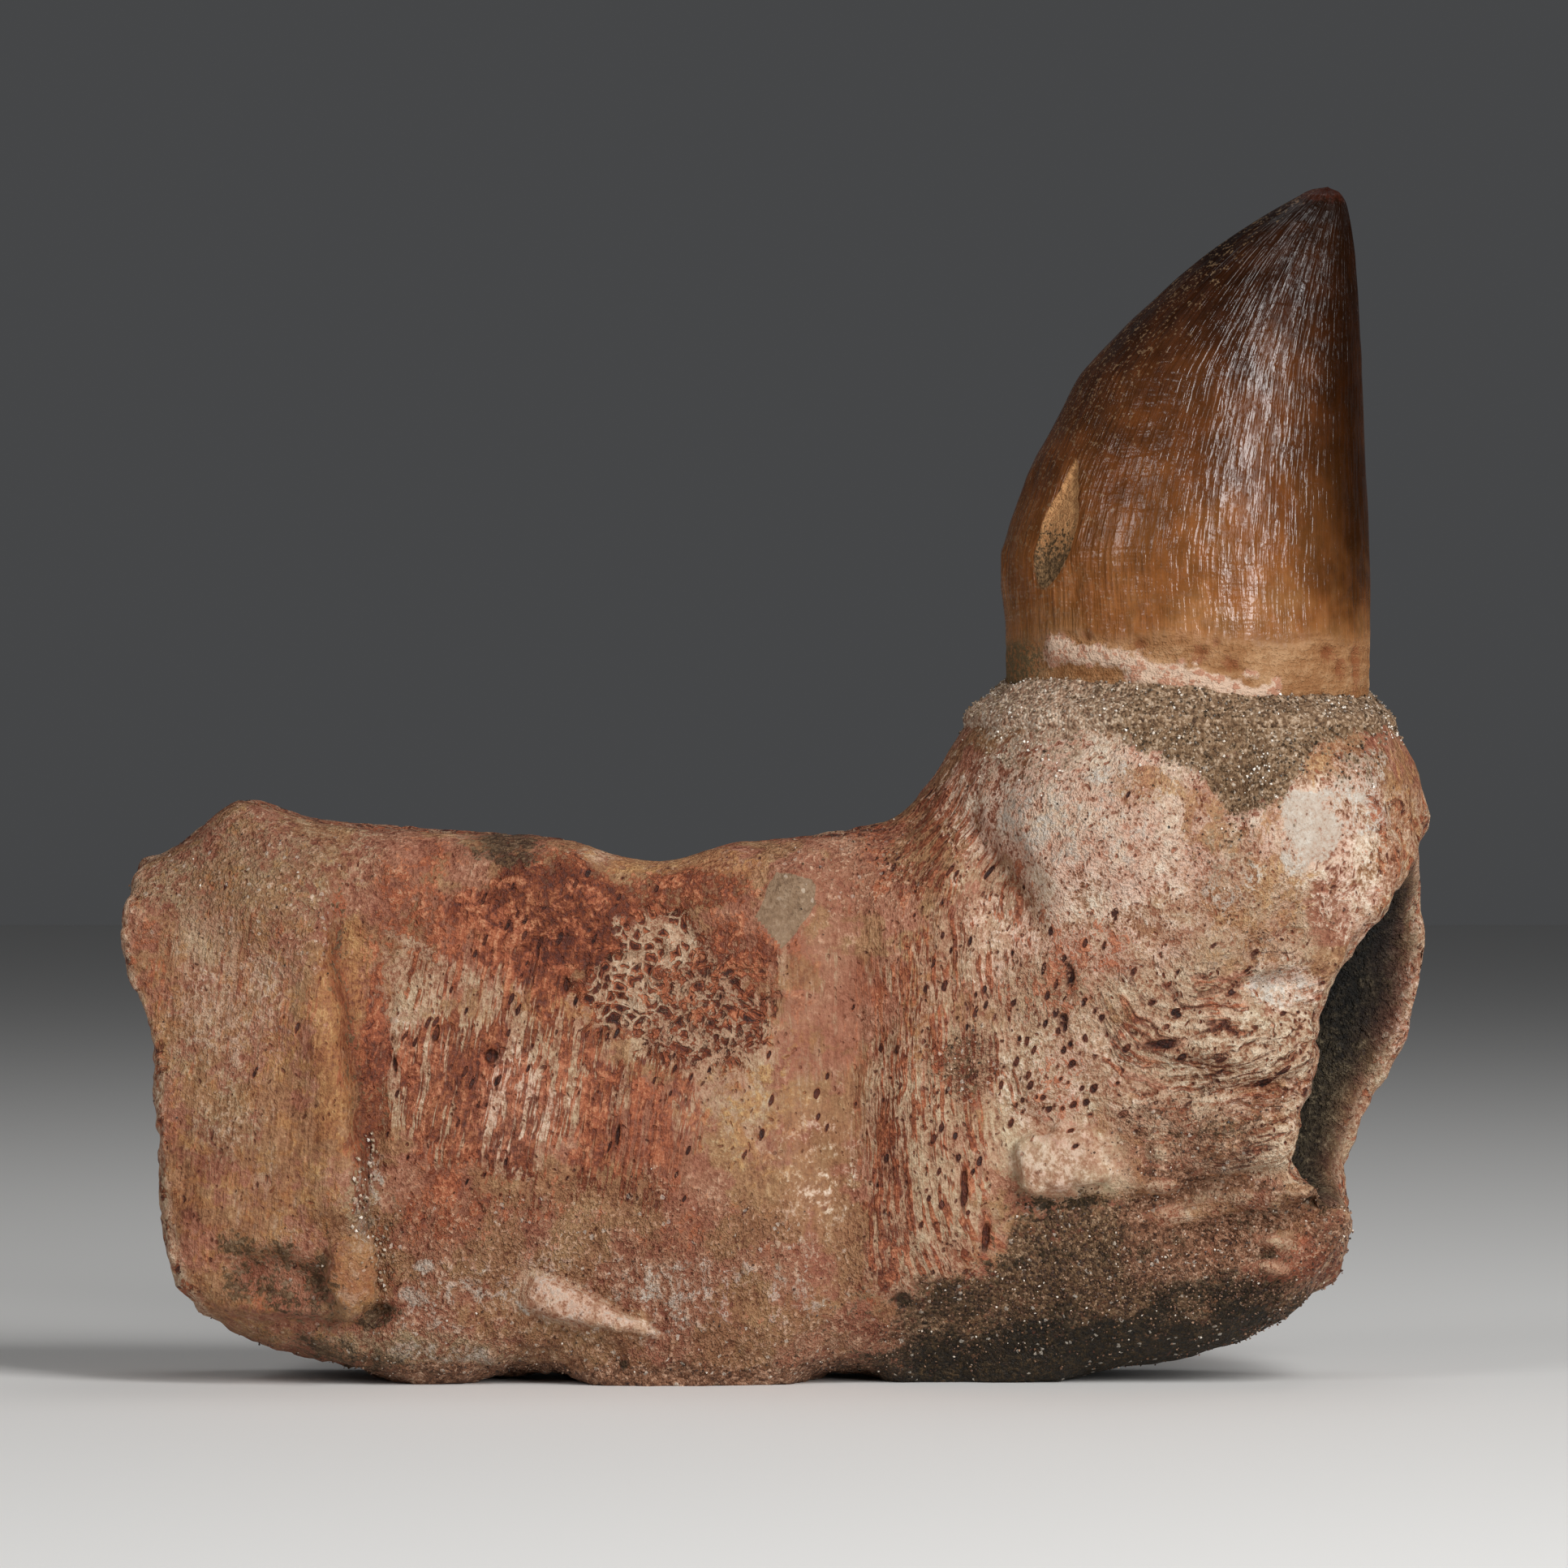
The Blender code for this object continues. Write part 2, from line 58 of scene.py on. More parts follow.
print("frame loaded")

# Fossil jaw section with one tall tooth. Shapes are in millimetres until they go into a mesh:
# x along the jaw, the outer side towards -y, z up from the surface it stands on.


# smooth step: 0 up to start, 1 from end on, and 3t^2 - 2t^3 between them
def ramp(start, end, t):
    share = np.clip((t - start) / (end - start), 0, 1)
    return share * share * (3 - 2 * share)


# e to the power of minus t squared
def bell(t):
    return np.exp(-t * t)


# monotone cubic through (place, value) pairs, level past both ends
def curve(points, at):
    place, value = np.array(points, float).T
    width = np.diff(place)
    slope = np.diff(value) / width
    tangent = np.zeros_like(value)
    before, after = slope[:-1], slope[1:]
    sameWay = before * after > 0
    tangent[1:-1][sameWay] = 2 * (before * after)[sameWay] / (before + after)[sameWay]
    at = np.clip(at, place[0], place[-1])
    i = np.clip(np.searchsorted(place, at, side="right") - 1, 0, len(width) - 1)
    t = (at - place[i]) / width[i]
    return (
        (1 + 2 * t) * (1 - t) ** 2 * value[i]
        + t * (1 - t) ** 2 * width[i] * tangent[i]
        + t * t * (3 - 2 * t) * value[i + 1]
        + t * t * (t - 1) * width[i] * tangent[i + 1]
    )


lumpLattice = np.random.default_rng(11).random((16, 16, 16)) * 2 - 1
fineLattice = np.random.default_rng(23).random((41, 41, 41)) * 2 - 1
fineShift = 7.3


# value noise from -1 to 1: eight lattice corners blended by smooth steps of the place in the cell
def noise(points, wavelength, lattice=lumpLattice):
    scaled = points / wavelength
    cell = np.floor(scaled).astype(int)
    share = scaled - cell
    share = share * share * (3 - 2 * share)
    total = 0
    for corner in itertools.product((0, 1), repeat=3):
        weight = np.prod(np.where(corner, share, 1 - share), axis=-1)
        i, j, k = np.moveaxis((cell + corner) % len(lattice), -1, 0)
        total = total + weight * lattice[i, j, k]
    return total


# finer value noise on a lattice of its own, moved so that its cells start elsewhere
def fineNoise(points, wavelength):
    return noise(points + fineShift, np.array(wavelength, float), fineLattice)


# sum of layers of fine noise, each height * noise of the places moved by its shift
def layered(points, layers):
    total = 0
    for height, wavelength, shift in layers:
        total = total + height * fineNoise(points + shift, wavelength)
    return total


# places on a plane, as points whose third number is 0
def planePoints(a, b):
    return np.stack([a, b, 0 * a], axis=-1)


# the lowest and highest corner of a box, from metres to millimetres
def inMillimetres(corners):
    return [np.array(corner) / mm for corner in corners]


# distance field of an oval: 1 in its middle, 0 on its edge, below 0 outside
def ovalField(x, z, middleX, middleZ, halfWidth, halfHeight, tilt):
    c, s = np.cos(np.radians(tilt)), np.sin(np.radians(tilt))
    across = (x - middleX) * c + (z - middleZ) * s
    along = (z - middleZ) * c - (x - middleX) * s
    return 1 - np.hypot(across / halfWidth, along / halfHeight)


# sum of soft ovals, each rise * e^-(r^4)
def lowForms(listed, x, z):
    total = 0
    for *oval, rise in listed:
        r = 1 - ovalField(x, z, *oval)
        total = total + rise * bell(r**2)
    return total


# largest of a list of ovals with uneven edges, each strength * ramp over its edge
def spots(listed, x, z, wobble, soft=0.35):
    total = np.zeros_like(x)
    for *oval, strength in listed:
        field = ovalField(x, z, *oval)
        total = np.maximum(total, strength * ramp(-soft, soft, field + wobble))
    return total


# the grown shape of the jaw, the same as the solids' in every list and depth
jawShape = {
    "platform": 70.5,
    "topEdge": [
        (-70, 53.2), (-66.7, 56), (-62.8, 58.3), (-60.6, 60.6), (-58, 62.5), (-54.1, 61),
        (-49.3, 59.7), (-40.6, 58.9), (-24.9, 58.2), (-21.4, 57.7), (-17.9, 56.2), (-14.5, 55.7),
        (-10.1, 56.2), (-5.7, 57.6), (-0.5, 58), (6.4, 58.8), (11.7, 59.8), (15.1, 62.3),
        (16.9, 64.6), (18.6, 67.6), (19.9, 70.3), (22.5, 75), (61.5, 75), (64.8, 70.8), (66.6, 69),
        (67.8, 67.2), (69, 63.7), (69.3, 60),
    ],
    "bottomEdge": [
        (-70, 20), (-66, 14), (-64.6, 11.5), (-62.4, 8), (-57.3, 4.5), (-50.2, 2.6), (-43.9, 0.8),
        (-40, -1.5), (-35, -1.5), (-31, 0.8), (-24, 0.9), (-19, -2.5), (-8, -4), (0, -2.5),
        (4, 0.6), (9, 0.7), (13, -2.5), (22, -3.5), (28, -1), (37.8, 1.3), (45.4, 2.8),
        (50.8, 4.5), (55.3, 8), (59, 11.5), (62, 16),
    ],
    "leftEdge": [
        (4.5, -58.2), (8, -63.2), (13.2, -65.4), (18.5, -66.1), (31.5, -66.3), (35.9, -66.6),
        (39.4, -68.2), (47.2, -70), (53.3, -70.1), (55.2, -69), (57, -65.5),
    ],
    "rightEdge": [
        (1.5, 37.8), (4.5, 51.6), (8, 56.6), (11.2, 60), (15, 61), (17.6, 61.8), (20.2, 60.9),
        (25.4, 62.2), (30.6, 64.2), (34.1, 66.4), (39.4, 68.4), (44.6, 70.1), (48.1, 71.1),
        (51.5, 71), (53.5, 70.3), (57, 69.5), (61.1, 69.5), (65.5, 68.7), (69, 66.8), (70.7, 65.3),
        (72.4, 63.8), (76, 63),
    ],
    "nearRim": [
        (4.5, 51.6), (8, 56.6), (11, 59.4), (15, 60.4), (18, 60), (20.5, 57), (23, 52.5),
        (26.7, 53.7), (30.2, 55), (34.6, 55.9), (38.9, 56.4), (43.3, 57.6), (46.3, 59.5),
        (49.4, 62.3), (52.4, 65.4), (54.5, 68.5), (60, 69.5),
    ],
    "socketMiddle": (0.8, 36.8),
    "socketHalfWidth": 11,
    "socketHalfHeight": 17,
    "socketFloorX": 45,
    "leftRim": [
        (0, -57), (8, -60.6), (14, -63.2), (20, -64.8), (35, -65.5), (42, -68), (50, -69),
        (56, -67),
    ],
    "leftSlant": 3,
    "leftMiddle": (0, 33),
    "rimInset": 0.8,
    "turnedUnder": (4, 50.3),
    "domeRimX": 61,
    "footLeft": [(0, 9), (30, 9), (50, 10.5), (61, 13.1), (65.6, 16.9), (70.3, 19.5), (76, 22.6)],
    "footFront": [
        (0, 10), (6, 13.2), (14, 16), (30, 17.6), (46, 19), (57, 20.8), (63, 20.6), (67, 19.4),
        (71, 17.6), (76, 16.6),
    ],
    "footBack": [
        (0, 11), (10, 14.5), (30, 16.2), (48, 18.2), (60, 20.2), (65, 19.8), (71, 17.8),
        (76, 16.6),
    ],
    "outerForms": [  # x, z, half width, half height, tilt, rise
        (31.7, 60, 9, 7.5, 0, 1.1), (57.5, 59.5, 6.5, 7.5, 0, 0.9), (46.5, 65.5, 3.6, 6, 0, -1.6),
        (22.5, 54.5, 3.6, 8, 28, -1.5), (29.9, 23.6, 5.4, 3.2, 8, 0.9), (17, 30, 5, 22, 0, 1.3),
        (5.6, 34, 4.6, 22, 0, -1.3), (46, 17.6, 11, 3.8, -6, -2.2), (50, 36.5, 7, 3.2, 8, 1.4),
        (49, 27, 7, 3.2, 14, 1.6), (-21.4, 7.6, 6.5, 1.9, -22, 0.7), (0.2, 50.2, 3, 4.2, -25, 0.8),
        (-53.5, 11.4, 5.5, 2.9, -8, -2), (-14, 45, 9, 7, 0, -1), (-30, 20, 12, 3, -5, -0.8),
    ],
    "innerForms": [
        (40, 30, 12, 7, 0, 1.2), (-20, 24, 20, 6, 3, 1.3), (12, 44, 6, 9, -15, -2.2),
        (-33, 46, 9, 7, 0, -1.5), (52, 12, 9, 5, 20, -1.8), (42, 47, 5, 6.5, 0, -2),
    ],
    "trough": (-14, 0.5, 15, 5.8, 4.2),
    # distances from the middle plane: the wall's own, and what each form adds or takes away
    "outerDepths": {
        "wall": 14.6, "swell": 1.2, "leftTaper": 3.6, "saddle": 2, "turnedUnder": 7,
        "topTaper": 2,
    },
    "innerDepths": {
        "wall": 13.4, "shelf": 2.6, "footTaper": 1.6, "leftSwell": 2.2, "leftTaper": 3,
        "topTaper": 2,
    },
    "plateRise": 2.3,
    "ledgeRise": 1.7,
    "leftSwell": 0.9,
    # powers of the rounded squares: the wall's section, the worn left edge, the socket
    "wallPower": 7.5,
    "leftPower": 7,
    "socketPower": 3.2,
    "stations": 62,
    "around": 52,
    "leftShares": [0.985, 0.93, 0.8, 0.6, 0.38, 0.17],
    "lipShares": [0.06, 0.2, 0.45, 0.75, 1],
    "hollowShares": [0.94, 0.84, 0.7, 0.52, 0.33, 0.16],
}


# the larger of two depths, rounded where they meet: half of a + b + the root of (a - b)^2 + s^2
def larger(a, b, softness=2.4):
    return (a + b + np.sqrt((a - b) ** 2 + softness**2)) / 2


# the jaw wall rounds off as a quarter circle at its top edge, and only the foot goes on up
def jawShare(x, z):
    rounded = np.sqrt(np.clip(1 - np.clip((z - 46) / 15.5, 0, 1) ** 2, 0, 1))
    return 1 - ramp(-2, 15, x) * (1 - rounded)


# half depth of the tooth's foot: an oval in plan at every height
def footDepth(x, z, halfDepths):
    left = curve(jawShape["footLeft"], z)
    right = np.maximum(curve(jawShape["rightEdge"], z), 68.4 * ramp(60, 56, z))
    offCentre = (x - (left + right) / 2) / ((right - left) / 2)
    return curve(halfDepths, z) * np.sqrt(np.clip(1 - offCentre**2, 0, 1))


# outer face's distance from the middle plane: a saddle in the jaw, turned under below the tooth
def outerDepth(x, z):
    depths = jawShape["outerDepths"]
    jaw = depths["wall"] + depths["swell"] * bell((z - 26) / 20)
    jaw = jaw - depths["leftTaper"] * ramp(-50, -70, x)
    jaw = jaw - depths["saddle"] * bell((x + 10) / 22) * bell((z - 34) / 20)
    jaw = jaw - depths["turnedUnder"] * ramp(-4, 20, x) * ramp(15, -2, z) ** 1.5
    jaw = jaw - depths["topTaper"] * ramp(54, 66, z)
    return larger(jaw * jawShare(x, z), footDepth(x, z, jawShape["footFront"]))


# inner face's distance from the middle plane, with a shelf along its lower half
def innerDepth(x, z):
    depths = jawShape["innerDepths"]
    jaw = depths["wall"] + depths["shelf"] * ramp(41, 33, z)
    jaw = jaw - depths["footTaper"] * ramp(10, -2, z)
    jaw = jaw + depths["leftSwell"] * ramp(-38, -48, x) * ramp(14, 26, z) * ramp(62, 50, z)
    jaw = jaw - depths["leftTaper"] * ramp(-52, -70, x) - depths["topTaper"] * ramp(50, 62, z)
    return larger(jaw * jawShare(x, z), footDepth(x, z, jawShape["footBack"]))


# x of the ledge that the left plate ends at
def ledgeX(z):
    return -44.0 - 3.6 * ramp(18, 52, z)


# rise of the outer face: the left plate, its ledge, and the low forms
def outerRelief(x, z):
    edge = ledgeX(z) + 0.5 * noise(planePoints(x, z), 3.5)
    plate = ramp(edge + 0.5, edge - 0.7, x) * ramp(6.5, 8.5, z) * ramp(59, 48, z)
    slope = np.where(x < edge - 2.0, 3.4, 1.7)
    ledge = bell((x - edge + 2.0) / slope) * ramp(15, 20, z) * ramp(52, 44, z)
    rise = jawShape["plateRise"] * plate + jawShape["ledgeRise"] * ledge
    return rise + lowForms(jawShape["outerForms"], x, z)


# steps round a square |a|^p + |b|^p = 1, from the middle of its foot up the front and over
def roundedSquare(count, power):
    step = np.arange(count) / count
    corners = [0.0, 0.08, 0.44, 0.60, 0.91, 1.0]
    across = np.interp(step, corners, [0, 1, 1, -1, -1, 0])
    upward = np.interp(step, corners, [-1, -1, 1, 1, -1, -1])
    size = (np.abs(across) ** power + np.abs(upward) ** power) ** (-1 / power)
    return across * size, upward * size


# x where the walls stop on the right, with the near wall shorter than the far one
def rightRim(z, nearness):
    far = curve(jawShape["rightEdge"], z)
    near = np.minimum(curve(jawShape["nearRim"], z), far)
    rim = far + (near - far) * nearness - jawShape["rimInset"]
    rim = rim + (jawShape["domeRimX"] - rim) * ramp(43, 56, z) * ramp(70, 65, z)
    lowZ, lowX = jawShape["turnedUnder"]
    return rim + (lowX - rim) * ramp(lowZ + 9, lowZ, z)


# upright sections of the wall: each point's height from the two edges, its depth from the faces
def wallRings(stations, around):
    share = np.linspace(0, 1, stations)[:, None]
    across, upward = roundedSquare(around, jawShape["wallPower"])
    nearness = ramp(-0.5, 0.5, across)
    x = -66 + 130 * share + 0 * across
    for _ in range(30):
        low, high = curve(jawShape["bottomEdge"], x), curve(jawShape["topEdge"], x)
        z = (low + high) / 2 + (high - low) / 2 * upward
        leftRim = curve(jawShape["leftRim"], z) + 0.8 * jawShape["leftSlant"] * (1 - nearness)
        x = (x + (1 - share) * leftRim + share * rightRim(z, nearness)) / 2
    depth = np.where(across > 0, outerDepth(x, z), innerDepth(x, z))
    return np.stack([x, -across * depth, z], axis=-1)


# the left broken face: its outline's x, slanting back with y, with a low swell in its middle
def leftFace(y, z):
    x = curve(jawShape["leftEdge"], z) + jawShape["leftSlant"] * ramp(-6, 14, y)
    return x + jawShape["leftSwell"] * bell(np.hypot(y / 8, (z - 30) / 14) ** 2)


# the right end: broken walls round the socket, and above them the foot's round outline
def rightFace(y, z, rimX):
    far = curve(jawShape["rightEdge"], z)
    near = np.minimum(curve(jawShape["nearRim"], z), far)
    broken = near + (far - near) * ramp(-6.0, 6.0, y)
    footLeft = curve(jawShape["footLeft"], z)
    half = np.where(y < 0, curve(jawShape["footFront"], z), curve(jawShape["footBack"], z))
    bulge = np.sqrt(np.clip(1 - (y / half) ** 2, 0, 1))
    swollen = (far + footLeft) / 2 + (far - footLeft) / 2 * bulge
    return broken + (np.maximum(swollen, rimX) - broken) * ramp(54.0, 58.0, z)


# each inner ring moves half way to the mean of its four neighbours
def relaxed(rings, rounds=2):
    for _ in range(rounds):
        inner = rings[1:-1]
        beside = np.roll(inner, 1, axis=1) + np.roll(inner, -1, axis=1) + rings[:-2] + rings[2:]
        rings = np.concatenate([rings[:1], (inner + beside / 4) / 2, rings[-1:]])
    return rings


# rings of the left broken face, from the rim in to the middle, with a worn edge
def leftEnd(rim):
    x, y, z = rim.T
    middleY, middleZ = jawShape["leftMiddle"]
    power = jawShape["leftPower"]
    rings = []
    for share in jawShape["leftShares"]:
        ringY, ringZ = middleY + (y - middleY) * share, middleZ + (z - middleZ) * share
        reach = (1 - share**power) ** (1 / power)
        rings.append(np.stack([x + (leftFace(ringY, ringZ) - x) * reach, ringY, ringZ], axis=-1))
    return rings


# rings of the right end: over the lip to the socket's mouth, then down its superellipse hollow
def rightEnd(rim):
    x, y, z = rim.T
    power = jawShape["socketPower"]
    across, upward = roundedSquare(len(rim), power)
    middleY, middleZ = jawShape["socketMiddle"]
    mouthY = middleY - jawShape["socketHalfWidth"] * across
    mouthZ = middleZ + jawShape["socketHalfHeight"] * upward
    rings = []
    for share in jawShape["lipShares"]:
        ringY, ringZ = y + (mouthY - y) * share, z + (mouthZ - z) * share
        lip = rightFace(ringY, ringZ, x)
        reach = (1 - (1 - share) ** 5) ** 0.5
        lipX = x + (lip - x) * reach - 0.7 * ramp(0.8, 1, share)
        rings.append(np.stack([lipX, ringY, ringZ], axis=-1))
    mouthX = rings[-1][:, 0]
    for share in jawShape["hollowShares"]:
        ringY, ringZ = middleY + (mouthY - middleY) * share, middleZ + (mouthZ - middleZ) * share
        depth = (1 - share**power) ** (1 / power)
        floorX = jawShape["socketFloorX"] + 1.5 * noise(planePoints(ringY, ringZ), 7.0)
        rings.append(np.stack([mouthX + (floorX - mouthX) * depth, ringY, ringZ], axis=-1))
    return rings


# depth of the empty pit in the jaw's top
def troughDepth(x, y, z):
    middleX, middleY, halfLength, halfWidth, depth = jawShape["trough"]
    onTop = ramp(0, 3, z - (curve(jawShape["topEdge"], x) - 6))
    r = np.hypot((x - middleX) / halfLength, (y - middleY) / halfWidth)
    return depth * onTop * bell(r**2)


# rows at fractional places: the cubic through the four nearest rows
def resample(rows, places, wraps):
    base = np.floor(places).astype(int)
    t = (places - base)[:, None, None]
    index = base[:, None] + np.array([-1, 0, 1, 2])
    index = index % len(rows) if wraps else np.clip(index, 0, len(rows) - 1)
    a, b, c, d = (rows[index[:, k]] for k in range(4))
    return b + t * (c - a + t * (2 * a - 5 * b + 4 * c - d + t * (3 * (b - c) + d - a))) / 2


# unit outward directions of a grid of points: along the rows crossed with along the columns
def gridNormals(grid):
    alongRows = np.gradient(grid, axis=0)
    alongColumns = np.roll(grid, -1, axis=1) - np.roll(grid, 1, axis=1)
    normal = np.cross(alongRows, alongColumns)
    return normal / np.maximum(np.linalg.norm(normal, axis=-1, keepdims=True), 1e-9)


# a new object in the scene's own collection
def addObject(name, data):
    made = bpy.data.objects.new(name, data)
    bpy.context.scene.collection.objects.link(made)
    return made


# a mesh object from points in millimetres and faces, with number or vector attributes on points
def meshObject(name, points, faces, attributes, smooth=True):
    mesh = bpy.data.meshes.new(name)
    mesh.from_pydata((points * mm).tolist(), [], faces)
    for label, values in attributes.items():
        kind, field = ("FLOAT", "value") if values.ndim == 1 else ("FLOAT_VECTOR", "vector")
        layer = mesh.attributes.new(label, kind, "POINT")
        layer.data.foreach_set(field, values.astype(float).ravel())
    mesh.polygons.foreach_set("use_smooth", np.full(len(mesh.polygons), smooth))
    return addObject(name, mesh)


# faces of a grid that is closed round its columns, with a fan to a pole past each end row
def gridFaces(count, around, closedRows=False):
    index = np.arange(count * around).reshape(count, around)
    nearer = index if closedRows else index[:-1]
    further = np.roll(index, -1, axis=0)[: len(nearer)]
    quads = [nearer, further, np.roll(further, -1, axis=1), np.roll(nearer, -1, axis=1)]
    faces = np.stack(quads, axis=-1).reshape(-1, 4).tolist()
    if not closedRows:
        first, last = count * around, count * around + 1
        fan = [np.full(around, first), index[0], np.roll(index[0], -1)]
        faces += np.stack(fan, axis=-1).tolist()
        fan = [index[-1], np.full(around, last), np.roll(index[-1], -1)]
        faces += np.stack(fan, axis=-1).tolist()
    return faces


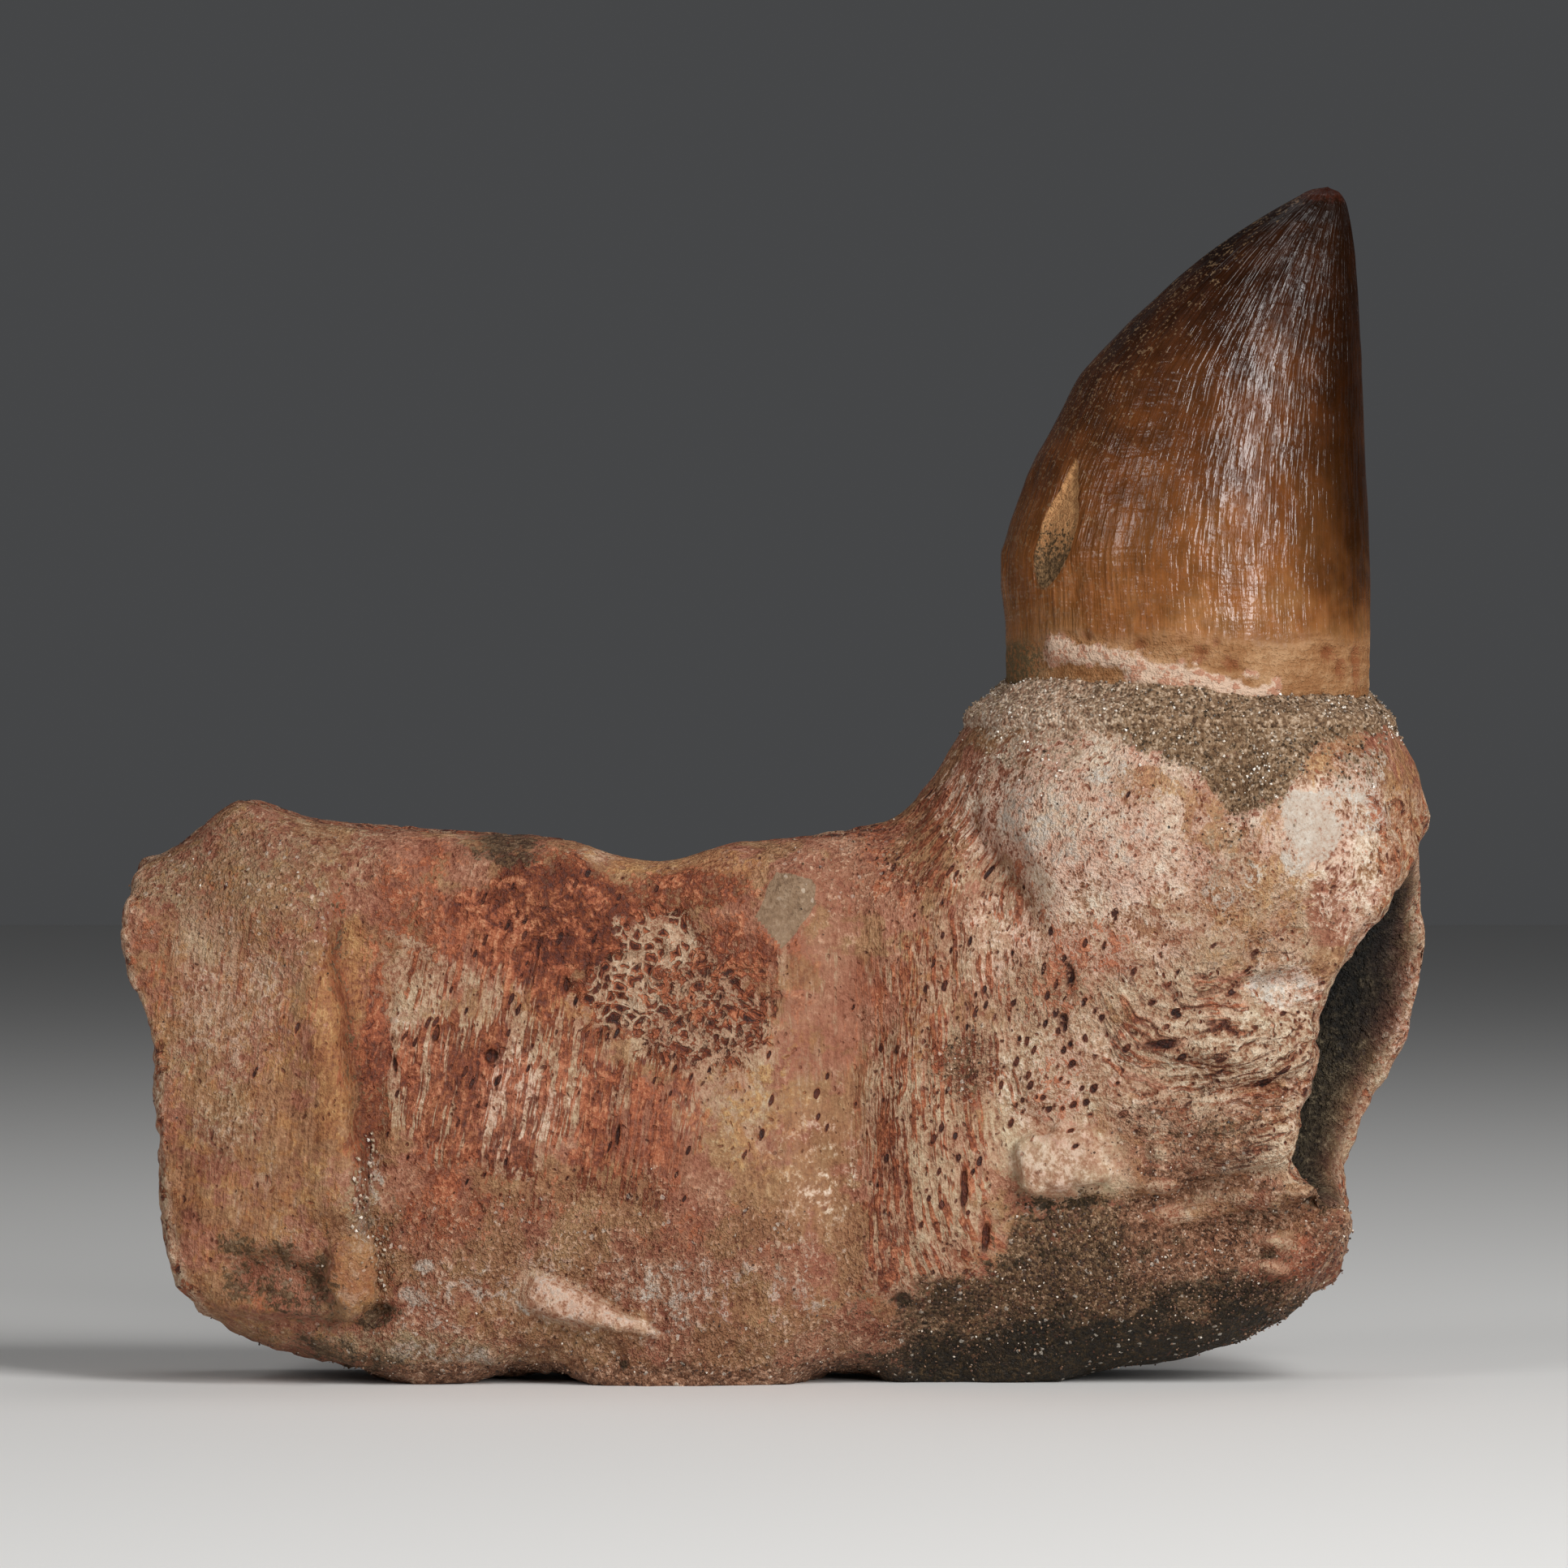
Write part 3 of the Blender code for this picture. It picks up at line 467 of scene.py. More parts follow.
# The bone's outer stains were placed from the front view; its inner side is a guess.
jawBone = {
    # where the fine rows and columns lie among the coarse ones: coarse place, fine number
    "rowPlaces": [(0.3, 0), (7, 34), (19, 78), (45, 200), (68, 332), (73, 352), (79.7, 384)],
    "columnPlaces": [(0, 0), (4.2, 10), (22.9, 158), (31.2, 192), (47.3, 242), (52, 250)],
    # lower edge of the sand round the neck, and upper edge of the crust: x, z
    "neckSandFoot": [
        (20, 69), (23.3, 67.8), (29.1, 69.2), (32.6, 69.4), (36.8, 68.4), (40.4, 66.6), (44, 64.7),
        (48, 61.6), (51.5, 62), (54.2, 65.5), (56.1, 68.1), (59.2, 69.1), (64, 69.3),
    ],
    "crustTop": [
        (8, 5), (11.9, 9), (15.9, 11.3), (22.2, 13.5), (24.5, 18), (29.9, 19.4), (34.3, 20.2),
        (37, 22.4), (41, 23), (45.5, 22), (49.5, 20.5), (53, 20.7), (56, 19.5), (60, 18),
    ],
    # stains and textures of each side: x, z, half width, half height, tilt, covered share
    "outer": {
        "rust": [
            (-24.5, 49, 10.5, 8, -8, 0.9), (-22, 51, 9, 5, -8, 0.86),
            (-10.5, 52.3, 9, 2.6, -4, 0.66), (-6, 45.5, 4.8, 5.5, 0, 0.6),
            (-38.5, 47, 6.5, 10, 0, 0.52), (-31, 31.5, 13.5, 12, 0, 0.57),
            (-33.8, 31.2, 1.8, 6, -7, 0.9), (-16.2, 27, 8.5, 9.5, -8, 0.58),
            (-9, 43, 10, 10, 0, 0.64), (-22, 15.5, 22, 7, 0, 0.36), (-35, 20, 6, 5, 0, 0.5),
            # the strips right of the ledge and of its finger, at x -43.4 and -42.2, are painted
            # shade as well as rust
            (-43.4, 32, 2, 15, -5, 0.75), (-52.5, 11.5, 6, 4.5, 0, 0.35),
            (-42.2, 13, 1.7, 6.5, 0, 0.55), (14.5, 28, 8, 25, 0, 0.4), (11, 18.5, 3, 12, 0, 0.6),
            (18.9, 34, 3.6, 4.6, 0, 0.6), (27, 41.8, 5.4, 4, 0, 0.52),
            (41.3, 39.2, 8, 4.4, 8, 0.52), (29.3, 33, 7, 6.6, 0, 0.34), (48, 29, 10, 8, 8, 0.3),
            (13.7, 58, 6, 8.5, -32, 0.5), (23.2, 54, 2.8, 8, 28, 0.46), (22, 67, 3, 6, 0, 0.32),
            (57, 13, 5.2, 6.2, 0, 0.6), (36, 12, 22, 5, 5, 0.3), (36, 58, 16, 9, 0, 0.14),
            (63, 52, 5, 9, 0, 0.25), (-57, 30, 13, 24, -6, 0.2), (-3, 10, 8, 6, 0, 0.4),
            (33, 46.5, 9, 3.5, 0, 0.4), (-57, 50, 8, 6, 0, 0.3), (-66.5, 46, 3.5, 6, 0, 0.4),
            (-66, 24, 3, 9, 0, 0.3),
        ],
        "cream": [
            (-30, 32, 12.5, 11, 0, 0.68), (-28.5, 29.5, 4.8, 6.5, 0, 0.95),
            (-38.8, 37, 5.5, 11, 0, 0.5), (-11.3, 41, 9, 9, 0, 0.6), (-25, 40, 8, 3, -10, 0.6),
            (22.5, 52, 4, 7, 28, 0.5), (15.5, 26, 7, 22, 0, 0.6), (11.8, 14.2, 2.8, 5.8, 0, 0.95),
            (29, 33.5, 8.5, 8.5, 0, 0.9), (48, 32.5, 12, 11, 8, 0.95), (25, 46, 7.5, 7, 0, 0.8),
            (17.5, 47, 5, 9, -14, 0.5), (-6, 33.5, 6.5, 8, 0, 0.55),
            (29.9, 23.6, 6.6, 4.6, 8, 0.85), (-12.5, 55.8, 9.5, 1.5, -2, 0.9),
            (-58.5, 41, 3.4, 5, -8, 0.5), (52.3, 15.1, 2.3, 0.6, -8, 0.9),
            (51.6, 12.7, 2.4, 0.6, -8, 0.8), (24, 27, 4, 5, 0, 0.8), (36, 44, 12, 4, 4, 0.7),
            (39.3, 25.2, 1.7, 1.5, 0, 0.9), (39.9, 21.2, 1.6, 1, 0, 0.9),
            (40.6, 18.1, 2.2, 1, 0, 0.9), (47, 51.5, 11, 6.5, 0, 0.75),
            (-36.2, 45, 6.2, 0.7, -31, 0.9), (44, 17, 8, 4, 5, 0.3), (-56, 40, 7, 7, 0, 0.25),
            (2, 40, 6, 10, 0, 0.3), (-61.5, 47.5, 5.5, 5, 0, 0.5), (-55, 55.5, 6, 3, 20, 0.3),
            (-55, 20, 4, 6, 0, 0.3), (51, 37.5, 7, 2.2, 10, 0.9), (-45.7, 12.4, 2.1, 4.3, 0, 0.5),
        ],
        "pale": [
            (33.5, 60, 13.5, 10, 0, 1), (56, 59.5, 8, 9, 0, 0.72), (62, 55, 5, 9, 0, 0.5),
            (46, 52, 9, 5.5, 0, 0.45), (52.6, 41.9, 3.6, 3, 0, 0.8), (18, 62, 3.5, 5, -30, 0.3),
            (-28.5, 29.5, 4.6, 6.4, 0, 0.55), (-38.8, 34.2, 4.8, 8, 0, 0.26),
            (34, 48, 12, 5, 0, 0.5), (52, 28, 6, 5, 8, 0.35), (-26, 12, 5, 3, -10, 0.35),
            (3, 22, 5, 9, 0, 0.3), (29.8, 24, 5.4, 3, 8, 0.45), (29.3, 33.5, 7.6, 7.2, 0, 0.42),
            (-59, 41, 5, 7, -8, 0.42), (-58.6, 28.6, 3, 4, 0, 0.34), (50, 33, 9, 7, 8, 0.46),
            (24, 46, 6, 5, 0, 0.35),
        ],
        "white": [
            (54.4, 60.6, 2.2, 3, 24, 0.8), (55.8, 57.8, 2.6, 2.8, -30, 0.76),
            (53.8, 56, 1.7, 2.3, 0, 0.6), (57.8, 62.4, 2.2, 1.5, 30, 0.55),
            (61.4, 65, 3.4, 2.8, 20, 0.5), (60.6, 60, 4.4, 2, 14, 0.46),
            (-18, 9.5, 22, 4.6, 0, 0.28), (52.4, 41.9, 3.2, 2.4, 0, 0.5), (30.5, 61, 9, 6, 0, 0.4),
            (47, 53.5, 4, 3, 0, 0.35), (-43.8, 20, 1.3, 7, -8, 0.4), (-38, 12.8, 1, 0.8, 0, 0.7),
            (-39, 9.6, 1.4, 0.9, -20, 0.6), (-31.8, 9.8, 1, 0.7, 0, 0.7),
            (-36.5, 3.4, 6, 1.2, -4, 0.45),
        ],
        "ochre": [
            (-57, 30, 14, 27, 0, 0.34), (-46.8, 38, 2.6, 14, -4, 0.95),
            (-45.7, 12.4, 2.2, 4.4, 0, 0.85), (-12, 55.3, 9, 1.5, 0, 0.95),
            (37.3, 63.7, 2.8, 2.4, 0, 0.75), (44.2, 60.2, 2.4, 4.6, 20, 0.7),
            (56.2, 66.4, 3.6, 2.6, -10, 0.7), (49.5, 52.5, 6.4, 4.6, 0, 0.6),
            (52.5, 62.5, 1.8, 3.6, -24, 0.6), (66, 60, 3, 9, 0, 0.5), (50, 34, 8, 4.5, 8, 0.55),
            (50, 26.5, 7, 4, 12, 0.6), (-24, 40.5, 6, 2, -6, 0.75), (-3, 29, 6, 9, 0, 0.35),
            (14, 41, 2.4, 7, 0, 0.4), (66, 52, 3, 14, 0, 0.6),
        ],
        "grey": [
            (-57, 52.5, 13, 7.5, 20, 0.5), (-61.5, 37, 4.5, 6, 0, 0.5), (-58.5, 28, 4, 5, 0, 0.55),
            (-44.6, 20, 1.6, 7, -8, 0.8), (11.8, 14.2, 3, 6.2, 0, 0.8),
            (-38, 3.6, 12, 1.8, -4, 0.75), (-4, 30, 6, 8, 0, 0.4), (49, 50, 6, 4, 0, 0.45),
            (-20, 13, 22, 5, 0, 0.25), (45.5, 29, 4.5, 2, 8, 0.35), (29.8, 23, 6.4, 4, 8, 1),
            (-64, 52, 5, 4, 0, 0.5), (30, 47, 8, 3.6, 0, 0.35),
        ],
        "smooth": [
            (3.4, 32, 4.6, 26, -3, 0.7), (-4, 26, 8, 10, 0, 0.4), (-57, 30, 12, 24, 0, 0.3),
            (-45.7, 12.4, 2.3, 4.4, 0, 0.8), (29.8, 23.8, 6.4, 4.2, 8, 0.85),
            (54.8, 58.8, 3, 4.6, 8, 0.5), (52, 14, 3, 2.4, -8, 0.6),
        ],
        "fibrous": [
            (-57, 30, 14, 26, 0, 0.75), (-29, 34, 15, 15, 0, 1), (-16, 27, 8, 9, 0, 1),
            (15, 34, 9, 36, 0, 1), (47, 33, 15, 13, 8, 1), (2, 30, 7, 26, 0, 0.55),
            (21, 50, 5, 12, 20, 0.7), (63, 46, 6, 12, 0, 0.5),
        ],
        "grit": [
            (-57, 53, 13, 8, 0, 0.65), (-22, 13.5, 28, 7, 0, 0.75), (6, 54, 8, 4.5, 0, 0.5),
            (36, 60, 14, 8, 0, 0.35), (18.9, 34, 3.2, 4.2, 0, 0.9), (-60, 36, 8, 8, 0, 0.3),
            (-12, 4, 42, 4, 0, 0.95), (46, 14, 15, 6, 0, 0.9), (43, 26, 7, 4, 0, 0.9),
            (27, 41.8, 5, 3.6, 0, 0.35), (48, 49, 9, 5, 0, 0.45),
        ],
        # dark dirt and mould, and painted shade: along the turned-under foot, under the white
        # lump, round the ledge's finger and beside the ledge
        "grime": [
            (-54.5, 12.4, 5, 2.4, 24, 0.52), (-50.6, 10.4, 5, 3.6, -24, 0.52),
            (-57.6, 15, 2, 1.6, 0, 0.5), (-29.6, 57, 4, 2.2, 0, 0.72),
            (-48.8, 11.5, 1, 4.6, -4, 0.6), (-42.8, 7.4, 2.4, 1, 22, 0.75),
            (-17, 2.4, 0.7, 0.7, 0, 1), (34, 0.5, 28, 7.4, 4, 1), (-41.6, 15, 0.9, 7, -6, 0.3),
            (-46, 3, 8, 1.6, -12, 0.6), (28.6, 19.4, 5.6, 0.9, 2, 0.6),
            (26.5, 13.6, 5, 1.1, 8, 0.4), (52, 13.9, 2.2, 0.5, -8, 0.7), (45, 10, 7, 2, 12, 0.6),
            (46.5, 27.6, 5, 1.1, 8, 0.36), (-42.4, 31, 0.9, 16, -5, 0.2),
            (12.6, 9, 1.1, 1, 0, 0.9), (57.6, 20, 3, 1.2, 20, 0.6), (20, 8, 12, 3, 0, 0.36),
            (29, 16.5, 8, 3.4, 4, 0.16), (49, 17.6, 5, 1.8, 10, 0.3), (38, 14.6, 7, 2.4, 0, 0.3),
            (-60, 54, 9, 5, 30, 0.1),
        ],
        "sand": [
            (26.5, 67.5, 6, 4, 0, 0.5), (46.5, 57, 3, 4, 0, 0.3), (58, 17, 3.4, 3.4, 0, 0.6),
            (42, 26.5, 7, 3.8, 8, 0.36), (49, 29.5, 4.5, 1.6, 8, 0.4),
            (18.9, 34, 2.8, 3.6, 0, 0.4), (60, 66.5, 4, 3, 0, 0.4),
        ],
        "levelFibre": [(49, 31.5, 12, 12.5, 8, 1), (39.5, 40, 7.5, 5, 8, 0.7)],
        "spongy": [
            (-13.2, 47.2, 4.4, 3.4, -5, 1.15), (-16.8, 41.2, 5.2, 4.4, 0, 1),
            (-9.4, 40.5, 7.6, 6.6, 0, 0.74), (-12.5, 43.5, 8.5, 7, 0, 0.5),
        ],
        "pitted": [
            (-30, 33, 15, 14, 0, 0.55), (15, 32, 9, 30, 0, 0.6), (34, 58, 15, 11, 0, 0.9),
            (58, 56, 8, 10, 0, 0.5), (30, 46, 12, 4.5, 0, 0.6), (-5, 34, 9, 12, 0, 0.5),
            (-26, 48, 12, 8, 0, 0.5), (48, 33, 13, 12, 0, 0.45), (-57, 35, 13, 24, 0, 0.25),
            (-20, 15, 24, 8, 0, 0.3),
        ],
        # open pores, longer along the fibres
        "porous": [
            (29.3, 33.8, 8.6, 7.2, 0, 0.95), (-31, 37, 11, 8, -8, 0.32), (-34, 27, 9, 9, -8, 0.2),
            (-16, 28, 9, 9, -10, 0.3), (16.5, 24, 6, 18, 0, 0.42), (17, 48, 6, 9, -14, 0.36),
            (12.5, 57, 4, 6, -32, 0.42), (46, 36, 11, 9, 8, 0.42), (31, 46.5, 9, 4, 0, 0.42),
            (-24, 49, 10, 6, 0, 0.22), (0, 33, 9, 13, 0, 0.12), (-12, 38, 8, 7, 0, 0.4),
        ],
    },
    # corners of the patch of putty, clockwise
    "putty": [(-0.8, 54.4), (3.2, 53.7), (3.4, 51), (-0.2, 46.3), (-3.2, 49.6)],
    # clean pieces in the crust: x, z, half width, half height, tilt, cleaned share
    "swept": [
        (52.3, 15.2, 2.8, 1.1, -8, 1.2), (51.6, 12.5, 2.8, 1.1, -8, 1.2),
        (39.3, 25.2, 1.9, 1.7, 0, 1.1), (39.9, 21.2, 1.9, 1.2, 0, 1.1),
        (40.6, 18.1, 2.5, 1.1, 0, 1.1), (58.4, 14.6, 4.4, 5.4, 0, 0.8), (47, 19.4, 7, 1.2, 8, 0.6),
    ],
    # a long pointed splinter near the foot: its two ends, and its half thickness
    "splinter": (-31, 11.6, -12.6, 5.2, 2.3),
    "inner": {
        "rust": [
            (-34, 47, 16, 8, 0, 0.75), (2, 40, 10, 14, 0, 0.55), (34, 40, 16, 10, 0, 0.5),
            (-20, 22, 26, 7, 3, 0.45), (42, 47, 6, 7, 0, 0.8), (48, 18, 14, 8, 10, 0.5),
            (-56, 30, 8, 18, 0, 0.4), (0, 28, 60, 26, 0, 0.2),
        ],
        "cream": [
            (-50, 20, 12, 10, 0, 0.5), (30, 28, 12, 9, 0, 0.7), (-12, 33, 16, 6, 4, 0.6),
            (10, 52, 10, 8, 0, 0.5),
        ],
        "pale": [(40, 59, 22, 8.5, 0, 0.85), (-12, 33, 14, 5, 4, 0.4)],
        "white": [(50, 60, 5, 4, 0, 0.7), (30, 29, 5, 4, 0, 0.5)],
        "ochre": [
            (-44, 36, 18, 16, 0, 0.5), (20, 62, 5, 6, 0, 0.7), (55, 62, 6, 4, 0, 0.7),
            (8, 20, 16, 8, 0, 0.4),
        ],
        "grey": [(-56, 50, 10, 8, 0, 0.6), (24, 22, 16, 6, -6, 0.5)],
        "smooth": [(-10, 12, 30, 6, 0, 0.5), (26, 52, 6, 8, 0, 0.4)],
        "fibrous": [(-30, 36, 36, 18, 0, 0.8), (24, 34, 34, 22, 0, 0.8)],
        "grit": [
            (-20, 6, 50, 7, 0, 0.9), (12, 44, 8, 11, -15, 0.8), (-60, 48, 9, 9, 0, 0.8),
            (44, 8, 16, 8, 0, 0.8),
        ],
        # dark dirt, and painted shade along the foot
        "grime": [
            (30, 2, 28, 6, 4, 0.85), (12, 43, 4, 7, -15, 0.5), (-46, 4, 12, 3, -8, 0.6),
            (-33, 46, 4, 3, 0, 0.4),
        ],
        "sand": [
            (12.5, 44, 5, 8, -15, 0.95), (52, 11, 9, 6, 20, 0.95), (36, 66.5, 9, 4, 0, 0.8),
            (-33, 46.5, 5, 3.5, 0, 0.6), (-40, 9, 10, 4, 0, 0.7),
        ],
        "levelFibre": [(50, 34, 12, 12, -6, 0.8)],
        "spongy": [(-33, 47, 8, 5, 0, 0.9), (12, 43, 5.5, 8.5, -15, 0.5)],
        "pitted": [(-10, 34, 55, 18, 0, 0.45), (36, 58, 20, 10, 0, 0.6)],
        "porous": [(-10, 34, 50, 16, 0, 0.2), (34, 34, 14, 10, 0, 0.5)],
    },
    "widePores": [  # single pits: x, z, half width, half height, tilt
        (-36.7, 37.3, 0.4, 1.2, -12), (-30.9, 34.9, 0.8, 0.9, 0), (-41, 34, 0.3, 1, 0),
        (39.8, 36.3, 2.3, 0.55, 4), (30, 43.4, 0.5, 1.8, 4), (29.4, 38.8, 0.5, 0.9, 0),
        (12.4, 9, 1, 1, 0), (21.3, 15.8, 0.5, 1.9, -6), (19, 21, 0.4, 2.6, -4),
        (58.2, 20.3, 1.2, 0.9, 0), (-17.6, 26.5, 0.35, 1.4, -8), (-23, 42.4, 0.4, 1, 0),
    ],
    # crisp pieces and hollows of the outer side: x, z, half width, half height, tilt, rise,
    # share of the half width that the edge takes
    "crispForms": [
        (-45.7, 12.4, 2.4, 4.6, 0, 1.5, 0.25), (-42.8, 8, 1.7, 1.3, 0, -1.3, 0.8),
        (29.6, 24, 6, 3.9, 8, 1.3, 0.3), (39.3, 25.2, 1.5, 1.3, 0, 0.7, 0.6),
        (39.9, 21.2, 1.4, 0.8, 0, 0.6, 0.6), (40.6, 18.1, 2, 0.8, 0, 0.7, 0.6),
        (52.3, 15.2, 2.3, 0.8, -8, 1.1, 0.5), (51.6, 12.5, 2.4, 0.8, -8, 1, 0.5),
        (52, 13.9, 2, 0.5, -8, -0.4, 0.6), (-36.2, 45, 6.2, 0.7, -31, 0.3, 0.8),
        (57.6, 20, 3.4, 1.3, 20, -1.2, 0.6), (-42.3, 31, 1, 15, -5, -0.7, 0.8),
        (28.6, 19.3, 6.4, 0.9, 4, -0.8, 0.8),
    ],
    # the crease beside the bulge: x, z, half width, half height, tilt
    "crease": (23, 54.4, 1.3, 7.4, 34),
    # rises of the fine relief, below 0 where the surface sinks
    "rises": {
        "strand": 0.34, "crest": 1.1, "crust": -0.30, "neckSand": 0.55, "pore": -0.5,
        "sponge": -0.55, "splinter": 1, "crease": -0.8,
    },
    # layers of fine noise: height, wavelength and shift
    "roughness": {
        "lumps": [(0.16, 2.2, 0), (0.10, 1.1, 9)],
        "grit": [(0.18, 0.9, 0)],
        "sandGrains": [(0.10, 0.85, 0), (0.12, 1.6, 5)],
        "crustLumps": [(0.30, 3.4, 11)],
        "crumbs": [(0.45, 2.6, 0), (0.28, 1.2, 0)],
        "silt": [(0.26, 1.3, 0), (0.50, 3.2, 0)],
        "edges": [(0.25, 1.3, 0), (0.15, 2.7, 0)],
    },
}


# fibre coordinates: across, along and through the wall. Fibres stand upright and turn level
# under the tooth's foot: the across value is the larger of the distances left and below it.
def fibrePlaces(points):
    x, y, z = np.moveaxis(points, -1, 0)
    lean = 0.12 * ramp(-43, -47, x) + 0.16 * ramp(-43, -39, x) * ramp(-4, -10, x)
    leaning = x - lean * (z - 30) - 0.45 * (z - 50) * ramp(48, 62, z) * ramp(2, 14, x)
    left = 47 - leaning
    below = 0.6 * (60 - z + 0.18 * (x - 40) * ramp(30, 46, x))
    return np.stack([-larger(left, below, 10), y, x - z], -1)


# field of the single pits on the outer side, 1 in a pit's middle and 0 on its edge
def pitField(x, y, z):
    field = np.full(x.shape, -1.0)
    bend = 0.12 * noise(planePoints(x, z), 0.9)
    for pit in jawBone["widePores"]:
        field = np.maximum(field, ovalField(x + bend, z, *pit))
    return np.where(y < -3, field, -1.0)


# distance inside the nearest side of a convex outline, below 0 outside it
def outlineField(corners, x, z):
    field = np.full_like(x, 99.0)
    for (startX, startZ), (endX, endZ) in zip(corners, corners[1:] + corners[:1]):
        length = np.hypot(endX - startX, endZ - startZ)
        inside = (x - startX) * (endZ - startZ) - (z - startZ) * (endX - startX)
        field = np.minimum(field, inside / length)
    return field


# field of the splinter: across it, thinning towards its far end, and 0 on its edge
def splinterField(x, z, wobble):
    startX, startZ, endX, endZ, half = jawBone["splinter"]
    length = np.hypot(endX - startX, endZ - startZ)
    c, s = (endX - startX) / length, (endZ - startZ) / length
    along = (x - startX) * c + (z - startZ) * s
    across = (z - startZ) * c - (x - startX) * s + 0.9 * wobble
    share = along / length
    thick = half * (1 - 0.8 * ramp(0.3, 1.0, share)) + 0.05
    field = 1 - np.abs(across) / thick
    return np.minimum(field, np.minimum(share * 5 - 0.8, (1 - share) * 8))


# share of paler sand round the neck: it lies at the left end of the outer side
def paleSandShare(points):
    x, y, z = np.moveaxis(points, -1, 0)
    return ramp(38, 26, x + 3 * noise(points, 3.6)) * ramp(60, 66, z) * ramp(2, -2, y)


# raises a mask to at least the given share
def raiseMask(masks, name, share):
    masks[name] = np.maximum(masks[name], share)


# shares of the stains and textures: the outer side's ovals pass into the inner side's
def stainMasks(x, z, wobble, outerShare):
    masks = {}
    for label in jawBone["outer"]:
        soft = 0.2 if label == "white" else 0.45
        outer = spots(jawBone["outer"][label], x, z, wobble, soft)
        inner = spots(jawBone["inner"][label], x, z, wobble, soft)
        masks[label] = outer * outerShare + inner * (1 - outerShare)
    return masks


# shares of the sand: round the neck, as a crust on the lower right, and on the underside
def addSand(masks, points, wobble, outerShare):
    x, y, z = np.moveaxis(points, -1, 0)
    edge = 2.6 * wobble
    neck = ramp(-2.2, 1.2, z - curve(jawBone["neckSandFoot"], x) + 3.4 * wobble)
    neck = neck * ramp(19.5, 22, x) * (1 - 0.3 * paleSandShare(points))
    backNeck = ramp(-0.8, 0.8, z - 68.6 + edge) * ramp(18, 21, x)
    crust = ramp(2.8, -2.8, z - curve(jawBone["crustTop"], x) + 2.0 * edge) * ramp(6, 16, x)
    swept = np.clip(spots(jawBone["swept"], x, z, wobble, 0.3), 0, 1)
    crust = crust * (1 - swept)
    sandOuter = np.maximum(neck, 0.92 * crust) * outerShare
    sandInner = backNeck * (1 - outerShare)
    underside = ramp(3.2, 1.2, z + edge)
    masks["sand"] = np.maximum.reduce([masks["sand"], sandOuter, sandInner, underside])
    masks["grit"] = masks["grit"] * (1 - 0.8 * swept * outerShare)
    masks["neckTone"] = ramp(40, 50, z)
    masks["paleSand"] = paleSandShare(points)
    masks["redSand"] = ramp(33, 40, x) * ramp(9, 13, z) + ramp(16, 6, x)


# single forms of the outer side: a painted shadow with some rust on the ledge's flank, the putty,
# the pale splinter
def addForms(masks, x, z, wobble, onOuter):
    # the ledge's flank is darkened by rust and by painted shade
    flankShade = bell((x - ledgeX(z) - 0.2 + 1.6 * wobble) / 0.9) * ramp(9, 14, z) * ramp(56, 50, z)
    raiseMask(masks, "rust", 0.62 * flankShade * onOuter)
    raiseMask(masks, "grime", 0.34 * flankShade * onOuter)
    masks["putty"] = ramp(-0.2, 0.3, outlineField(jawBone["putty"], x, z) + wobble) * onOuter
    splinter = splinterField(x, z, wobble)
    laid = ("cream", 0.9, -0.5, 0.4), ("pale", 0.55, -0.3, 0.7), ("smooth", 0.7, 0, 0.4)
    for name, share, low, high in laid:
        raiseMask(masks, name, share * ramp(low, high, splinter) * onOuter)
    masks["grit"] = masks["grit"] * (1 - 0.8 * ramp(-0.5, 0.3, splinter) * onOuter)


# broken ends are spongy, and so is the top of the jaw; the socket has nothing but silt
def addEnds(masks, x, y, z, row):
    socket = ramp(72.0, 73.4, row)
    broken = np.maximum(ramp(7.6, 5.6, row), ramp(68.2, 70.0, row) * ramp(73.4, 72.6, row))
    broken = broken * ramp(66, 60, z)
    onTop = ramp(0, 3, z - (curve(jawShape["topEdge"], x) - 4)) * ramp(14, 6, x)
    onTop = onTop * ramp(9, 6, np.abs(y))
    masks["spongy"] = np.maximum.reduce([masks["spongy"], 0.35 * broken, 0.8 * onTop])
    raiseMask(masks, "rust", 0.55 * onTop)
    raiseMask(masks, "cream", 0.85 * broken)
    raiseMask(masks, "pale", 0.35 * broken)
    masks["fibrous"] = np.maximum(masks["fibrous"] * (1 - broken), 0.2)
    for label in masks:
        masks[label] = masks[label] * (1 - socket)
    masks["broken"] = broken * (1 - socket)
    masks["silt"] = socket
    masks["levelFibre"] = masks["levelFibre"] * (1 - 0.5 * broken)


# all masks at every point; a row is a coarse place along the jaw, with the left face before 7,
# the right end after 68 and the socket's hollow after 73
def boneMasks(points, row):
    x, y, z = np.moveaxis(points, -1, 0)
    wobble = 0.30 * noise(points, 3.6) + 0.22 * fineNoise(points, 1.5)
    wobble = wobble + 0.1 * fineNoise(points, 0.8)
    outerShare = ramp(1.5, -1.5, y)
    masks = stainMasks(x, z, wobble, outerShare)
    addSand(masks, points, wobble, outerShare)
    addForms(masks, x, z, wobble, y < 0)
    addEnds(masks, x, y, z, row)
    masks["pore"] = pitField(x, y, z)
    return masks


# rise of crisp pieces: each its rise * ramp over a narrow edge of its oval
def crispRise(x, z, wobble):
    total = np.zeros_like(x)
    for *oval, rise, edge in jawBone["crispForms"]:
        total = total + rise * ramp(0, edge, ovalField(x, z, *oval) + wobble)
    return total


